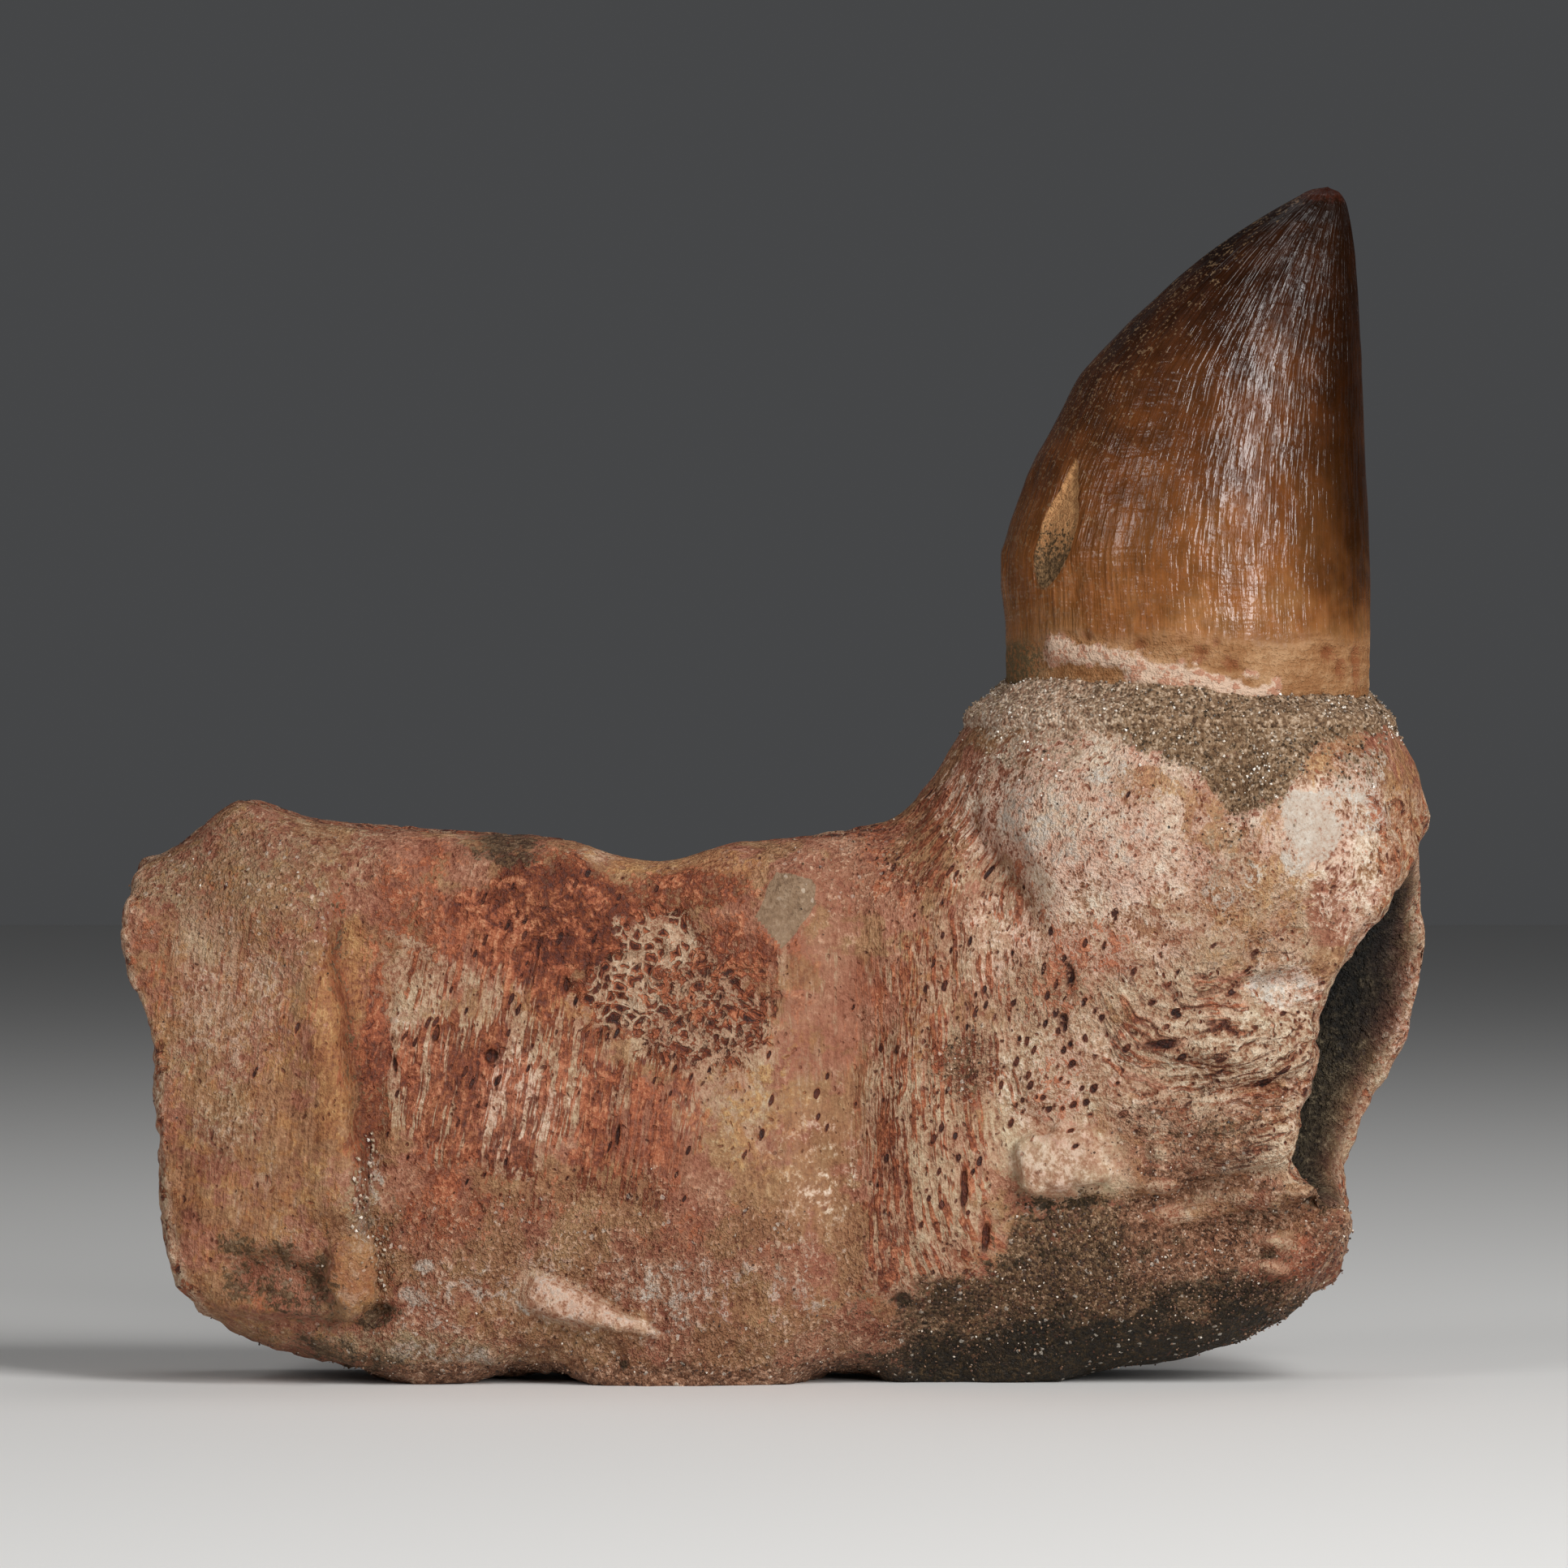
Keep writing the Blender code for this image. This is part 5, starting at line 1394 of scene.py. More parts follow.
# a surface's colour, roughness and relief; the rise is in millimetres
def setSurface(shader, colour, roughness, rise=None):
    setSockets(shader, {"Base Color": colour, "Roughness": roughness})
    if rise is not None:
        sockets = {"Height": rise, "Distance": mm, "Strength": 1}
        bump = addNode("Bump", sockets).outputs[0]
        setSockets(shader, {"Normal": bump})


# four tones for each stain of the bare bone, dark to light, as they look on screen
boneTones = {
    "tan": [(100, 60, 36), (138, 97, 65), (160, 120, 86), (188, 152, 118)],
    "pink": [(110, 60, 40), (141, 90, 66), (162, 113, 89), (194, 152, 128)],
    "grey": [(104, 76, 50), (138, 111, 82), (160, 136, 107), (184, 164, 134)],
    "cream": [(130, 80, 54), (166, 131, 103), (188, 161, 134), (208, 188, 162)],
    "pale": [(170, 121, 95), (197, 166, 143), (214, 188, 168), (230, 214, 198)],
    "white": [(160, 132, 110), (176, 157, 140), (187, 174, 160), (198, 190, 179)],
    "ochre": [(108, 60, 31), (144, 93, 56), (168, 119, 75), (194, 150, 102)],
    "rust": [(58, 18, 7), (87, 34, 15), (115, 54, 28), (148, 87, 55)],
    "orange": [(92, 38, 18), (132, 66, 38), (158, 88, 56), (186, 126, 92)],
    # shade painted into the middles of pores, spongy holes and clefts
    "pit": [(30, 10, 5), (54, 22, 12), (78, 34, 19), (104, 54, 34)],
}
# the same for what lies on it; the grime tones also paint shade, and the darker silt tones paint
# shade in the socket
sandTones = {
    "neckSand": [(66, 43, 24), (106, 78, 52), (142, 114, 86), (186, 162, 138)],
    "paleSand": [(110, 74, 52), (154, 120, 96), (184, 156, 132), (214, 196, 176)],
    "crust": [(26, 15, 7), (70, 47, 28), (114, 85, 58), (168, 138, 110)],
    "redCrust": [(48, 24, 13), (106, 68, 45), (148, 106, 80), (194, 158, 132)],
    "grime": [(8, 5, 0), (20, 15, 4), (38, 29, 12), (78, 59, 34)],
    "silt": [(14, 10, 5), (37, 29, 18), (62, 52, 36), (110, 97, 76)],
    "shadedSilt": [(5, 3, 2), (12, 9, 5), (25, 20, 12), (56, 48, 36)],
    "putty": [(96, 74, 52), (124, 100, 76), (138, 115, 91), (154, 134, 112)],
}
# sizes in millimetres of the cell patterns on the bone, and of the drift that bends them
bonePatternSizes = {
    "drift": (3, 3, 3), "grain": (0.36, 0.36, 0.36), "fleck": (0.64, 0.64, 0.98),
    "pore": (0.95, 0.95, 1.7), "net": (1.35, 1.35, 1.35),
}
# the cloud patterns: places, sizes (across, through and along the fibres on a strand), detail,
# roughness and shift
boneClouds = {
    "thread": ("strand", (0.52, 0.52, 7), 2, 0.7, 0),
    "streak": ("strand", (1.2, 1.2, 14), 3, 0.72, 0),
    "ridged": ("strand", (1.25, 1.25, 11), 2, 0.55, 23),
    "blotch": ("place", (8, 8, 8), 4, 0.65, 0),
    "broad": ("place", (5, 5, 6), 3, 0.65, 31),
    "mottle": ("bent", (1.7, 1.7, 1.9), 4, 0.75, 17),
    "speckle": ("place", (0.55, 0.55, 0.65), 2, 0.8, 0),
}


# the patterns that the stains share: threads and streaks along the fibres, mottles of several
# sizes, the tone inside a stain, and the patterns that give stains their edges
def bonePatterns(tree, mask):
    place = objectPlaces(tree)
    sockets = {"Vector": sized(place, bonePatternSizes["drift"]), "Detail": 2, "Scale": 1}
    drift = addNode("TexNoise", sockets).outputs["Color"]
    sockets = {0: drift, 1: (0.5, 0.5, 0.5)}
    drift = addNode("VectorMath", sockets, operation="SUBTRACT").outputs[0]
    bent, strand = moved(place, drift, 3 * mm), moved(placesOf(tree, "fibre"), drift, 0.6)
    kinds = {"place": (place, mm), "bent": (bent, mm), "strand": (strand, 1)}
    pattern = cloudsOf(boneClouds, kinds)
    pattern.place, pattern.bent, pattern.strand = place, bent, strand
    pattern.cell = cells(sized(place, bonePatternSizes["grain"]))
    pattern.chances = cellChances(pattern.cell)

    # tone: even on smooth pieces, with the most contrast on the splintery ridges
    smooth = most(mask.smooth, mask.putty)
    pattern.calm = blended((smooth, -0.55), (mask.levelFibre, 0.45), (1.1, 1))
    plainTone = blended((pattern.mottle, 0.5), (pattern.speckle, 0.5))
    fibreTone = blended((pattern.thread, 0.42), (pattern.streak, 0.22), (pattern.speckle, 0.36))
    tone = mixValue(mask.fibrous, plainTone, fibreTone)
    tone = blended((tone, 1), (pattern.chances[2], 0.2))
    tone = maths("MULTIPLY_ADD", minus(tone, 0.6), pattern.calm, 0.5)
    tone = swayed(tone, pattern.broad, 0.22)
    pattern.tone = maths("MULTIPLY_ADD", mask.levelFibre, 0.09, tone)

    # edges of the stains: ragged on plain bone, and striped where it's fibrous
    ragged = blended((pattern.mottle, 0.5), (pattern.speckle, 0.3), (pattern.blotch, 0.2))
    pattern.ragged = raised(ragged, 1.3)
    striped = blended((pattern.thread, 0.5), (pattern.streak, 0.35), (mask.groove, 0.15))
    pattern.stain = mixValue(mask.fibrous, pattern.ragged, raised(striped, 1.35))
    pattern.cleft = maths("ABSOLUTE", minus(pattern.ridged, 0.5))
    return pattern


# stains of the bare bone, from the widest to the narrowest
def stainedBone(mask, pattern, tones):
    colour = mixColour(level(pattern.blotch, 0.38, 0.62), tones["tan"], tones["pink"])
    colour = mixColour(covered(mask.grey, pattern.ragged, 0.3), colour, tones["grey"])
    unstained = minus(1, pattern.stain)
    colour = mixColour(covered(mask.cream, unstained, 0.14), colour, tones["cream"])
    colour = mixColour(covered(mask.pale, pattern.ragged, 0.26), colour, tones["pale"])
    ochre = covered(mask.ochre, raised(pattern.mottle, 1.1), 0.25)
    colour = mixColour(times(ochre, 0.85), colour, tones["ochre"])
    # bare bone leans to pink in places and to a greenish yellow in others
    leaning = blended((pattern.broad, 0.6), (pattern.mottle, 0.4))
    stops = [(0.25, (0.99, 0.91, 0.91, 1)), (0.75, (0.925, 0.945, 0.90, 1))]
    colour = mixColour(1, colour, colourSteps(leaning, stops), "MULTIPLY")

    # rust: dark brown-red, turning orange in places; streaks where the bone is fibrous
    orange = level(blended((pattern.mottle, 0.6), (pattern.blotch, 0.4)), 0.45, 0.68)
    reds = mixColour(orange, tones["rust"], tones["orange"])
    rust = covered(mask.rust, pattern.stain, 0.1)
    rust = times(rust, mixValue(mask.smooth, 0.94, 0.4))
    colour = mixColour(rust, colour, reds)
    white = covered(mask.white, pattern.ragged, 0.22)
    colour = mixColour(times(white, 0.9), colour, tones["white"])

    # splintery ridges: cream along the crests, rust in the clefts, in broken lines that are partly
    # painted shade, and a painted shadow along their cores
    colour = mixColour(level(mask.ridge, 0.42, 0.75, 0, 0.75), colour, tones["cream"])
    uncovered = level(most(mask.sand, mask.white), 0.1, 0.5, 1, 0)
    splintery = times(mask.levelFibre, uncovered)
    crest = times(level(pattern.cleft, 0.2, 0.4, 0, 0.85), splintery)
    colour = mixColour(crest, colour, tones["cream"])
    low = times(level(mask.ridge, 0.34, 0.08), mask.levelFibre)
    low = times(low, level(pattern.stain, 0.3, 0.65, 0.05, 0.6))
    colour = mixColour(low, colour, reds)
    splintery = times(splintery, level(pattern.mottle, 0.3, 0.62, 0.1, 1))
    line = times(level(pattern.cleft, 0.15, 0.04, 0, 0.85), splintery)
    colour = mixColour(line, colour, reds)
    # a painted shadow along the core of each cleft
    cleftShadow = times(level(pattern.cleft, 0.07, 0, 0, 0.7), splintery)
    return mixColour(cleftShadow, colour, tones["pit"]), reds, white, line


# small red flecks, each at the middle of a cell that chance and the mask choose
def fleckedBone(mask, pattern, tones, colour, reds, bare):
    cell = cells(sized(pattern.bent, bonePatternSizes["fleck"]))
    chances = cellChances(cell)
    chosen = above(plus(chances[0], mask.pitted), 0.93)
    chosen = times(chosen, bare, pattern.calm)
    far = maths("MULTIPLY_ADD", chances[2], 0.14, cell.outputs["Distance"])
    fleck = times(level(far, 0.36, 0.18, 0, 0.8), chosen)
    fleckTones = mixColour(chances[1], reds, tones["rust"])
    onPale = level(mask.pale, 0.3, 0.8)
    fleckTones = mixColour(onPale, fleckTones, tones["orange"])
    return mixColour(fleck, colour, fleckTones), fleck


# pores longer along the fibres, and the single wide ones: a red rim round a middle painted dark as
# its shade
def porousBone(mask, pattern, tones, colour, reds, bare):
    cell = cells(sized(pattern.strand, bonePatternSizes["pore"], 1, shift=5))
    chances = cellChances(cell)
    radius = maths("MULTIPLY_ADD", chances[1], 0.20, 0.13)
    far = minus(cell.outputs["Distance"], radius)
    far = swayed(far, pattern.mottle, 0.1)
    chosen = times(above(plus(chances[0], mask.porous), 0.99), bare)
    rim = times(level(far, 0.13, 0.02, 0, 0.85), chosen)
    pore = times(level(far, 0.02, -0.05, 0, 0.95), chosen)
    wide = times(level(mask.pore, 0, 0.4), bare)
    wideRim = times(level(mask.pore, -0.6, 0, 0, 0.6), bare)
    colour = mixColour(most(rim, wideRim), colour, reds)
    pore = most(pore, wide)
    return mixColour(pore, colour, tones["pit"]), pore


# spongy bone: round holes, red at their edges and painted dark in the middle as their shade, in a
# net of cream walls that turn red
def spongyBone(mask, pattern, tones, colour, reds):
    netPlace = sized(pattern.bent, bonePatternSizes["net"])
    chance = cellChances(cells(netPlace))[0]
    wall = cells(netPlace, "DISTANCE_TO_EDGE").outputs["Distance"]
    wall = swayed(wall, pattern.speckle, 0.07)
    spongy = covered(mask.spongy, pattern.mottle, 0.2)
    redder = covered(minus(1.27, mask.spongy), pattern.ragged, 0.1)
    netTones = mixColour(redder, tones["cream"], reds)
    colour = mixColour(times(spongy, 0.92), colour, netTones)
    chosen = times(above(chance, 0.14), spongy)
    hole = times(level(wall, 0.09, 0.18), chosen)
    holeTones = mixColour(level(wall, 0.2, 0.34), reds, tones["pit"])
    return mixColour(hole, colour, holeTones), hole


# sand: cells a third of a millimetre wide, each with its own tone; grit is a thin share of it
def sandyBone(mask, pattern, colour):
    cell, chances = pattern.cell, pattern.chances
    grain = blended((chances[0], 0.5), (pattern.speckle, 0.35), (pattern.broad, 0.2))
    mixed = blended((chances[0], 0.3), (pattern.speckle, 0.35), (pattern.mottle, 0.4))
    tones = {}
    for name in ("neckSand", "paleSand", "crust", "redCrust"):
        tones[name] = fourTones(grain, sandTones[name])
    for name in ("grime", "silt", "shadedSilt", "putty"):
        tones[name] = fourTones(mixed, sandTones[name])
    redder = blended((pattern.blotch, 0.3), (pattern.mottle, 0.3), (mask.redSand, 0.55))
    redder = level(redder, 0.38, 0.6)
    grit = covered(times(mask.grit, 0.5), pattern.speckle, 0.25)
    colour = mixColour(times(grit, 0.7), colour, tones["redCrust"])
    crustTones = mixColour(redder, tones["crust"], tones["redCrust"])
    neckTones = mixColour(mask.paleSand, tones["neckSand"], tones["paleSand"])
    packedTones = mixColour(mask.neckTone, crustTones, neckTones)
    sand = covered(mask.sand, pattern.ragged, 0.2)
    colour = mixColour(sand, colour, packedTones)
    colour = mixColour(level(mask.putty, 0.35, 0.6, 0, 0.92), colour, tones["putty"])

    # silt in the socket, painted darker in its upper part: partly darker silt, partly painted
    # shade
    lifted = maths("MULTIPLY_ADD", pattern.blotch, 14 * mm, heightOf(pattern.place))
    upper = level(lifted, 36 * mm, 52 * mm)
    siltTones = mixColour(upper, tones["silt"], tones["shadedSilt"])
    colour = mixColour(mask.silt, colour, siltTones)

    # grime and painted shade over everything, browner on the reddish sand, and then painted glints
    # of light on the grit and sand
    crumbly = raised(blended((pattern.mottle, 0.55), (pattern.speckle, 0.45)), 1.2)
    grime = times(covered(mask.grime, crumbly, 0.22), 0.92)
    browner = times(mask.redSand, 0.4)
    grimeAndShadeTones = mixColour(browner, tones["grime"], tones["crust"])
    colour = mixColour(grime, colour, grimeAndShadeTones)
    # painted glints: a few sand cells turned nearly white, as light catching on grains
    paintedGlint = times(above(chances[1], 0.985), most(mask.grit, mask.sand))
    colour = mixColour(times(paintedGlint, 0.55), colour, paint(216, 204, 188))
    loose = times(most(sand, mask.silt), cell.outputs["Distance"])
    gritty = times(mask.grit, pattern.speckle)
    lumpy = times(mask.silt, pattern.mottle)
    return colour, blended((loose, -0.22), (gritty, 0.20), (lumpy, 0.45))


# bone: each stain has four tones, picked by one pattern; the masks say how much of the surface
# each stain covers, and the patterns give it its edges
def boneMaterial():
    material, shader = newMaterial("fossilBone")
    names = "rust cream pale white ochre grey smooth fibrous grit grime sand neckTone levelFibre"
    names = names + " spongy pitted porous putty silt pore ridge groove redSand paleSand"
    tree = material.node_tree
    mask = SimpleNamespace(**{name: maskOf(tree, name) for name in names.split()})
    pattern = bonePatterns(tree, mask)
    tones = {name: fourTones(pattern.tone, listed) for name, listed in boneTones.items()}
    colour, reds, white, line = stainedBone(mask, pattern, tones)
    bare = minus(1, most(mask.sand, mask.putty))
    bare = times(bare, minus(1, white))
    colour, fleck = fleckedBone(mask, pattern, tones, colour, reds, bare)
    colour, pore = porousBone(mask, pattern, tones, colour, reds, bare)
    colour, hole = spongyBone(mask, pattern, tones, colour, reds)
    colour, sandRise = sandyBone(mask, pattern, colour)
    toneRise = times(pattern.tone, pattern.calm)
    # rise of each part of the pattern in millimetres, below 0 where it is a hollow
    rise = blended(
        (fleck, -0.22), (pore, -0.40), (hole, -0.32), (sandRise, 1), (toneRise, 0.22),
        (line, -0.4),
    )
    setSurface(shader, colour, level(pattern.speckle, 0.2, 0.8, 0.55, 0.85), rise)
    shader.inputs["Specular IOR Level"].default_value = 0.32
    return material


crownColours = {
    "tip": paint(30, 15, 8),
    "upper": paint(58, 31, 16),
    "middle": paint(94, 54, 27),
    "lower": paint(126, 78, 41),
    "base": paint(147, 101, 62),
    "rightSideShade": paint(26, 10, 2),
    "wornTip": paint(70, 32, 20),
    "leftEdgeSheen": paint(140, 112, 82),
    "chip": paint(188, 140, 94),
    "chipEdge": paint(120, 74, 42),
    "chipDirt": paint(72, 54, 36),
    "chipGrit": paint(134, 104, 72),
    "neckDark": paint(128, 84, 50),
    "neck": paint(150, 108, 72),
    "neckLight": paint(174, 136, 100),
    "flake": paint(208, 180, 158),
    "flakeRed": paint(164, 98, 70),
    "neckPit": paint(116, 58, 30),
    "neckSand": paint(104, 86, 60),
}
# cloud patterns on the crown: places, sizes in millimetres, detail, roughness and shift
crownClouds = {
    "striae": ("flow", (0.18, 0.18, 0.46), 2, 0.6, 0),
    "bands": ("flow", (0.7, 0.7, 1.3), 3, 0.6, 0),
    "wander": ("place", (7, 7, 7), 3, 0.65, 0),
    "speckle": ("place", (0.5, 0.5, 0.5), 2, 0.75, 0),
    "ripple": ("place", (1.5, 1.5, 1.3), 2, 0.6, 5),
    "patches": ("place", (3, 3, 4), 4, 0.7, 9),
    "layer": ("place", (4, 4, 1), 3, 0.65, 0),
    "growth": ("place", (8, 8, 1.1), 2, 0.6, 0),
}
# heights in millimetres between which the crown's colours and gloss change
crownHeights = {
    "brown": (82, 134),
    "rightShadeHeight": (80, 91),
    "wornTip": (126.2, 127.6),
    "chipDirt": (93.5, 90.5),
    "dullTip": (106, 124),
}


# smooth step of a height between two limits of the crown
def byHeight(height, name, start=0, end=1):
    low, high = crownHeights[name]
    return level(height, low * mm, high * mm, start, end)


# crown colours along a value, from (place, name) pairs
def crownSteps(value, stops):
    return colourSteps(value, [(place, crownColours[name]) for place, name in stops])


# enamel: brown by height, its bands wandering up and down, with painted shade on the right side, a
# worn tip and pale specks along the left edge painted as the sheen off its small bumps
def enamelColour(mask, pattern):
    lifted = blended((pattern.wander, 9 * mm), (pattern.bands, 2.5 * mm), (pattern.height, 1))
    low, high = crownHeights["brown"]
    sockets = {"Value": lifted, "From Min": low * mm, "From Max": high * mm}
    stops = [(0, "base"), (0.17, "lower"), (0.42, "middle"), (0.68, "upper"), (0.9, "tip")]
    colour = crownSteps(addNode("MapRange", sockets).outputs[0], stops)
    # the right side is painted darker as shade, fading out lower down
    rightShade = times(level(mask.side, 0.4, 0.95, 0, 0.92), mask.front)
    fading = blended((pattern.wander, 3 * mm), (pattern.height, 1))
    rightShade = times(rightShade, byHeight(fading, "rightShadeHeight", 0.35))
    colour = mixColour(rightShade, colour, crownColours["rightSideShade"])
    colour = shaded(colour, pattern.striae, (0.62, 0.58, 0.54), (1.28, 1.26, 1.22), 0.16)
    colour = shaded(colour, pattern.patches, (0.70, 0.72, 0.66), (1.22, 1.14, 1.06), 0.6)
    worn = maths("MULTIPLY_ADD", pattern.speckle, 0.8 * mm, pattern.height)
    worn = byHeight(worn, "wornTip", 0, 0.8)
    colour = mixColour(worn, colour, crownColours["wornTip"])
    # the left edge gets pale specks, a painted sheen off its small bumps
    leftEdge = level(mask.side, -0.15, -0.98, 0, 0.24)
    broken = blended((pattern.ripple, 0.2), (pattern.speckle, 0.8))
    leftEdgeSheen = times(covered(leftEdge, broken, 0.06), 0.5)
    return mixColour(leftEdgeSheen, colour, crownColours["leftEdgeSheen"])


# neck below the enamel's edge: tan with paler layers, a flaky pale line, rusty pits, and sand
# on its left side
def neckColour(mask, pattern):
    tone = blended((pattern.layer, 0.35), (pattern.wander, 0.4), (pattern.speckle, 0.25))
    colour = crownSteps(tone, [(0.15, "neckDark"), (0.5, "neck"), (0.88, "neckLight")])
    frayed = swayed(mask.flake, pattern.ripple, 0.7)
    reddish = blended((pattern.speckle, 0.4), (pattern.ripple, 0.6))
    reddish = level(reddish, 0.5, 0.75, 0, 0.7)
    pinker = mixColour(reddish, crownColours["flake"], crownColours["flakeRed"])
    colour = mixColour(level(frayed, -0.15, 0.35, 0, 0.85), colour, pinker)
    pitted = swayed(mask.neckPit, pattern.speckle, 1.2)
    pitted = level(pitted, -0.5, 0.3, 0, 0.6)
    colour = mixColour(pitted, colour, crownColours["neckPit"])
    sandSide = times(level(mask.side, -0.72, -0.96, 0, 0.75), mask.front)
    sandSide = covered(sandSide, pattern.speckle, 0.2)
    return mixColour(sandSide, colour, crownColours["neckSand"])


# inside of the chip: tan, with dirt in its lower part
def chipColour(pattern):
    mottled = level(pattern.speckle, 0.2, 0.8, 0, 0.5)
    clean = mixColour(mottled, crownColours["chip"], crownColours["chipEdge"])
    dirty = mixColour(pattern.speckle, crownColours["chipDirt"], crownColours["chipGrit"])
    dirt = maths("MULTIPLY_ADD", pattern.speckle, 5 * mm, pattern.height)
    return mixColour(byHeight(dirt, "chipDirt"), clean, dirty)


# crown: glossy brown enamel with fine striae along the flow, over a dull tan neck
def crownMaterial():
    material, shader = newMaterial("brownEnamel")
    tree = material.node_tree
    names = ("enamel", "chip", "flake", "neckPit", "side", "front")
    mask = SimpleNamespace(**{name: maskOf(tree, name) for name in names})
    place = objectPlaces(tree)
    pattern = cloudsOf(crownClouds, {"flow": (placesOf(tree, "flow"), 1), "place": (place, mm)})
    pattern.height = heightOf(place)
    brink = blended((pattern.speckle, 0.25), (pattern.wander, 0.5), (mask.enamel, 1))
    neckShare = level(brink, 0.95, -0.1)
    colour = mixColour(neckShare, enamelColour(mask, pattern), neckColour(mask, pattern))
    chipShare = level(mask.chip, -0.03, 0.05)
    colour = mixColour(chipShare, colour, chipColour(pattern))
    dull = most(chipShare, neckShare)
    gloss = mixValue(pattern.speckle, 0.11, 0.22)
    roughness = mixValue(dull, gloss, 0.75)

    # the gloss breaks up into dashes, and fades on the dark right side and towards the tip
    shine = blended((pattern.striae, 0.7), (pattern.speckle, 0.3))
    shine = level(shine, 0.30, 0.70, -0.12, 0.31)
    shine = plus(shine, level(mask.side, 0.5, 0.9, 0.22, 0))
    shine = plus(shine, byHeight(pattern.height, "dullTip", 0, -0.15))
    shine = most(mixValue(dull, shine, 0.12), 0.02)
    glossy = blended(
        (pattern.striae, 0.066), (pattern.ripple, 0.045), (pattern.speckle, 0.012),
        (pattern.growth, 0.04),
    )
    rough = blended((pattern.layer, 0.12), (pattern.speckle, 0.12))
    setSurface(shader, colour, roughness, mixValue(dull, glossy, rough))
    shader.inputs["Specular IOR Level"].default_value = 0.34
    setSockets(shader, {"Specular IOR Level": shine})
    return material


# packed sand of the collar: the same speckles as the bone's sand
def matrixMaterial():
    material, shader = newMaterial("sandyMatrix")
    tree = material.node_tree
    place = objectPlaces(tree)
    cell = cells(sized(place, bonePatternSizes["grain"]))
    speckle = cloudsOf({"speckle": boneClouds["speckle"]}, {"place": (place, mm)}).speckle
    grain = blended((cellChances(cell)[0], 0.6), (speckle, 0.45))
    tones = [fourTones(grain, sandTones[name]) for name in ("neckSand", "paleSand")]
    colour = mixColour(maskOf(tree, "paleSand"), *tones)
    setSurface(shader, colour, 0.85, times(cell.outputs["Distance"], -0.22))
    return material


# loose grains: colours along each grain's own tone, from dark brown through grey to near white;
# the last, near-white step paints glints on a few grains
grainStops = {
    "neck": [
        (0, (50, 38, 26)), (0.3, (92, 72, 52)), (0.62, (138, 114, 90)), (0.88, (186, 166, 142)),
        (0.975, (246, 238, 226)),
    ],
    "crust": [
        (0, (36, 24, 15)), (0.35, (78, 50, 34)), (0.7, (122, 86, 62)), (0.94, (170, 136, 110)),
        (0.985, (234, 222, 206)),
    ],
    "speckle": (0.15, 0.15, 0.15),
}


# a grain's colour goes with its own tone, speckled lighter and darker
def grainMaterial(name, stops, roughness):
    material, shader = newMaterial(name)
    tree = material.node_tree
    stops = [(place, paint(*tone)) for place, tone in stops]
    colour = colourSteps(maskOf(tree, "tone"), stops)
    speckle = sized(objectPlaces(tree), grainStops["speckle"])
    speckle = cloud(speckle, 2, 0.6)
    colour = shaded(colour, speckle, (0.7, 0.7, 0.7), (1.2, 1.2, 1.2), 0.5)
    setSurface(shader, colour, roughness)
    return material


bone, boneGrid, boneMask = makeJawBone()
print("jaw bone", len(bone.data.polygons), "faces")
crown = makeToothCrown()
print("tooth crown", len(crown.data.polygons), "faces")
collar, collarGrid, collarNormal = makeCollar(boneGrid)
print("matrix collar", len(collar.data.polygons), "faces")
loose = makeGrains(boneGrid, boneMask, collarGrid, collarNormal)
neckSand, crustSand, ledgeCrystals = loose
print("grains", sum(len(piece.data.polygons) for piece in loose), "faces")

grains = grainMaterial("sandGrains", grainStops["neck"], 0.28)
crustGrains = grainMaterial("crustGrains", grainStops["crust"], 0.5)
dressing = [
    (bone, boneMaterial(), "fossil_bone"), (crown, crownMaterial(), "tooth_enamel"),
    (collar, matrixMaterial(), "sandy_matrix"), (neckSand, grains, "sandy_matrix"),
    (crustSand, crustGrains, "sandy_matrix"), (ledgeCrystals, grains, "sandy_matrix"),
]
for piece, material, slotName in dressing:
    piece.data.materials.append(material)
    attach(piece, "root")
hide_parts("jaw_bone")
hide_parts("tooth_crown")
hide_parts("matrix_collar")
print("materials done")

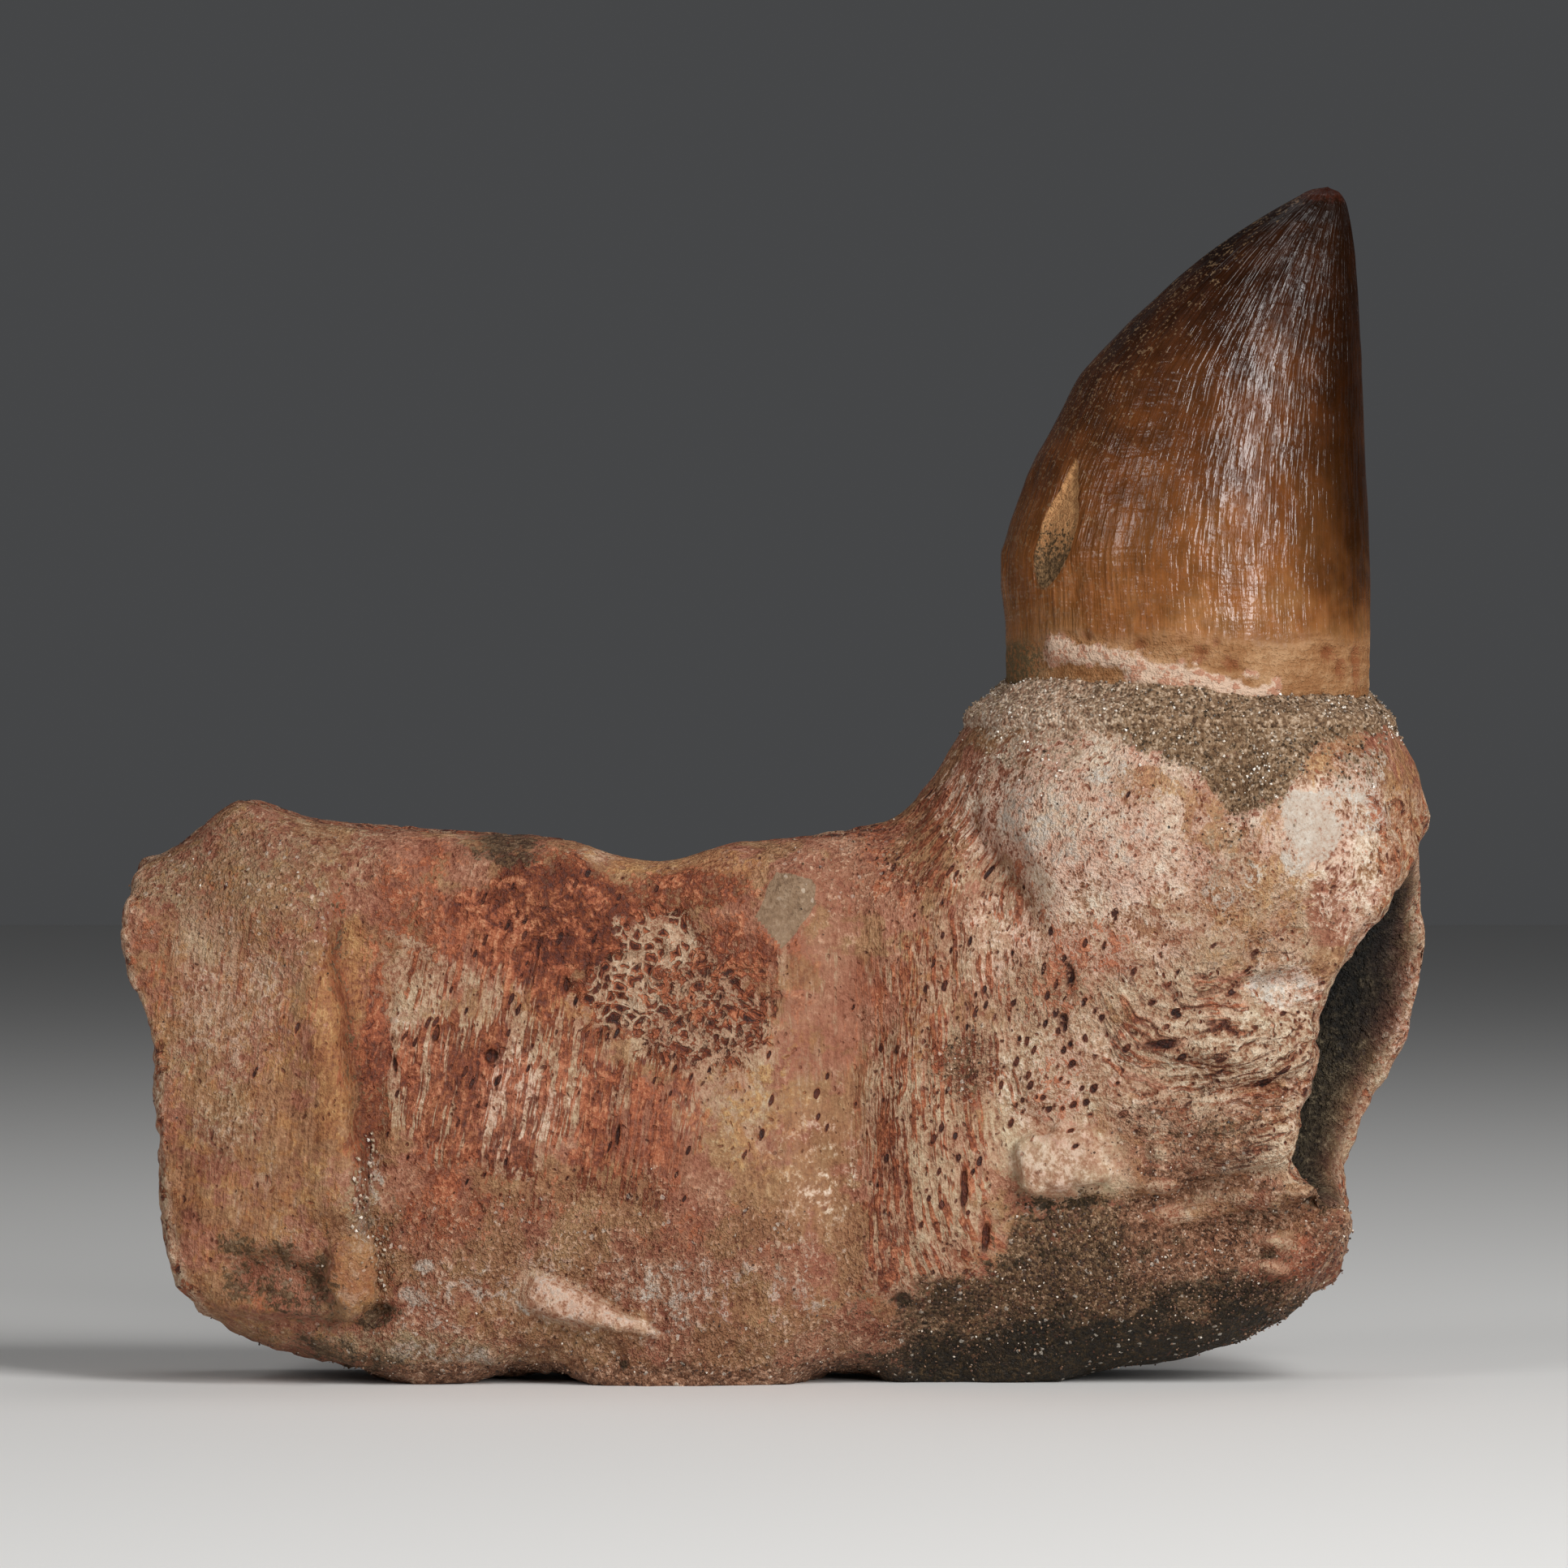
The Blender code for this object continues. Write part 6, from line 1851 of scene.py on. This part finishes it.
studio = {
    # in metres, but the lens and the sensor in millimetres
    "frameWidth": 0.1682,
    "frameCentre": (0.0, 0.0, 0.06364),
    "lens": 200.0,
    "sensor": 36.0,
    "floorHalf": 3.0,
    "floorColour": (0.80, 0.79, 0.77, 1),
    "worldColour": (0.80, 0.82, 0.85, 1),
    "worldStrength": 0.075,
    # name, azimuth, elevation, distance, width, height, watts
    "lights": [
        ("key", 36, 28, 0.9, 0.33, 0.85, 9.2),
        ("fill", -40, 26, 1.0, 0.30, 0.50, 2.2),
        ("top", 150, 65, 1.0, 0.5, 0.5, 1.2),
    ],
}


# a wide pale floor that the fossil stands on
def makeFloor():
    half = studio["floorHalf"]
    mesh = bpy.data.meshes.new("studioFloor")
    corners = [(-half, -half, 0), (half, -half, 0), (half, half, 0), (-half, half, 0)]
    mesh.from_pydata(corners, [], [(0, 1, 2, 3)])
    floor = addObject("studioFloor", mesh)
    material, shader = newMaterial("paleFloor")
    setSurface(shader, studio["floorColour"], 0.7)
    mesh.materials.append(material)


# dim, even light from all round
def makeWorld():
    world = bpy.data.worlds.new("studioWorld")
    world.use_nodes = True
    back = world.node_tree.nodes["Background"]
    back.inputs["Color"].default_value = studio["worldColour"]
    back.inputs["Strength"].default_value = studio["worldStrength"]
    bpy.context.scene.world = world


# soft lamps round the middle of the frame, each turned to face it
def makeLights(middle):
    for name, azimuth, elevation, distance, width, height, watts in studio["lights"]:
        a, e = np.radians(azimuth), np.radians(elevation)
        away = np.array([np.sin(a) * np.cos(e), -np.cos(a) * np.cos(e), np.sin(e)])
        lamp = bpy.data.lights.new(name, "AREA")
        lamp.shape = "RECTANGLE"
        lamp.size, lamp.size_y, lamp.energy = width, height, watts
        light = addObject(name, lamp)
        light.location = middle + away * distance
        light.rotation_euler = (np.pi / 2 - e, 0, a)


# camera square in front, as far away as the frame's width times the lens over the sensor
def makeCamera(middle):
    camera = bpy.data.cameras.new("camera")
    camera.lens, camera.sensor_width = studio["lens"], studio["sensor"]
    eye = addObject("camera", camera)
    distance = studio["frameWidth"] * studio["lens"] / studio["sensor"]
    eye.location = middle + np.array([0, -distance, 0])
    eye.rotation_euler = (np.pi / 2, 0, 0)
    bpy.context.scene.camera = eye
    bpy.context.scene.view_settings.view_transform = "Standard"


# all round the fossil: the lamps and the camera face the middle of the frame
def makeStudio():
    makeFloor()
    makeWorld()
    middle = np.array(studio["frameCentre"])
    makeLights(middle)
    makeCamera(middle)


makeStudio()
print("studio done")
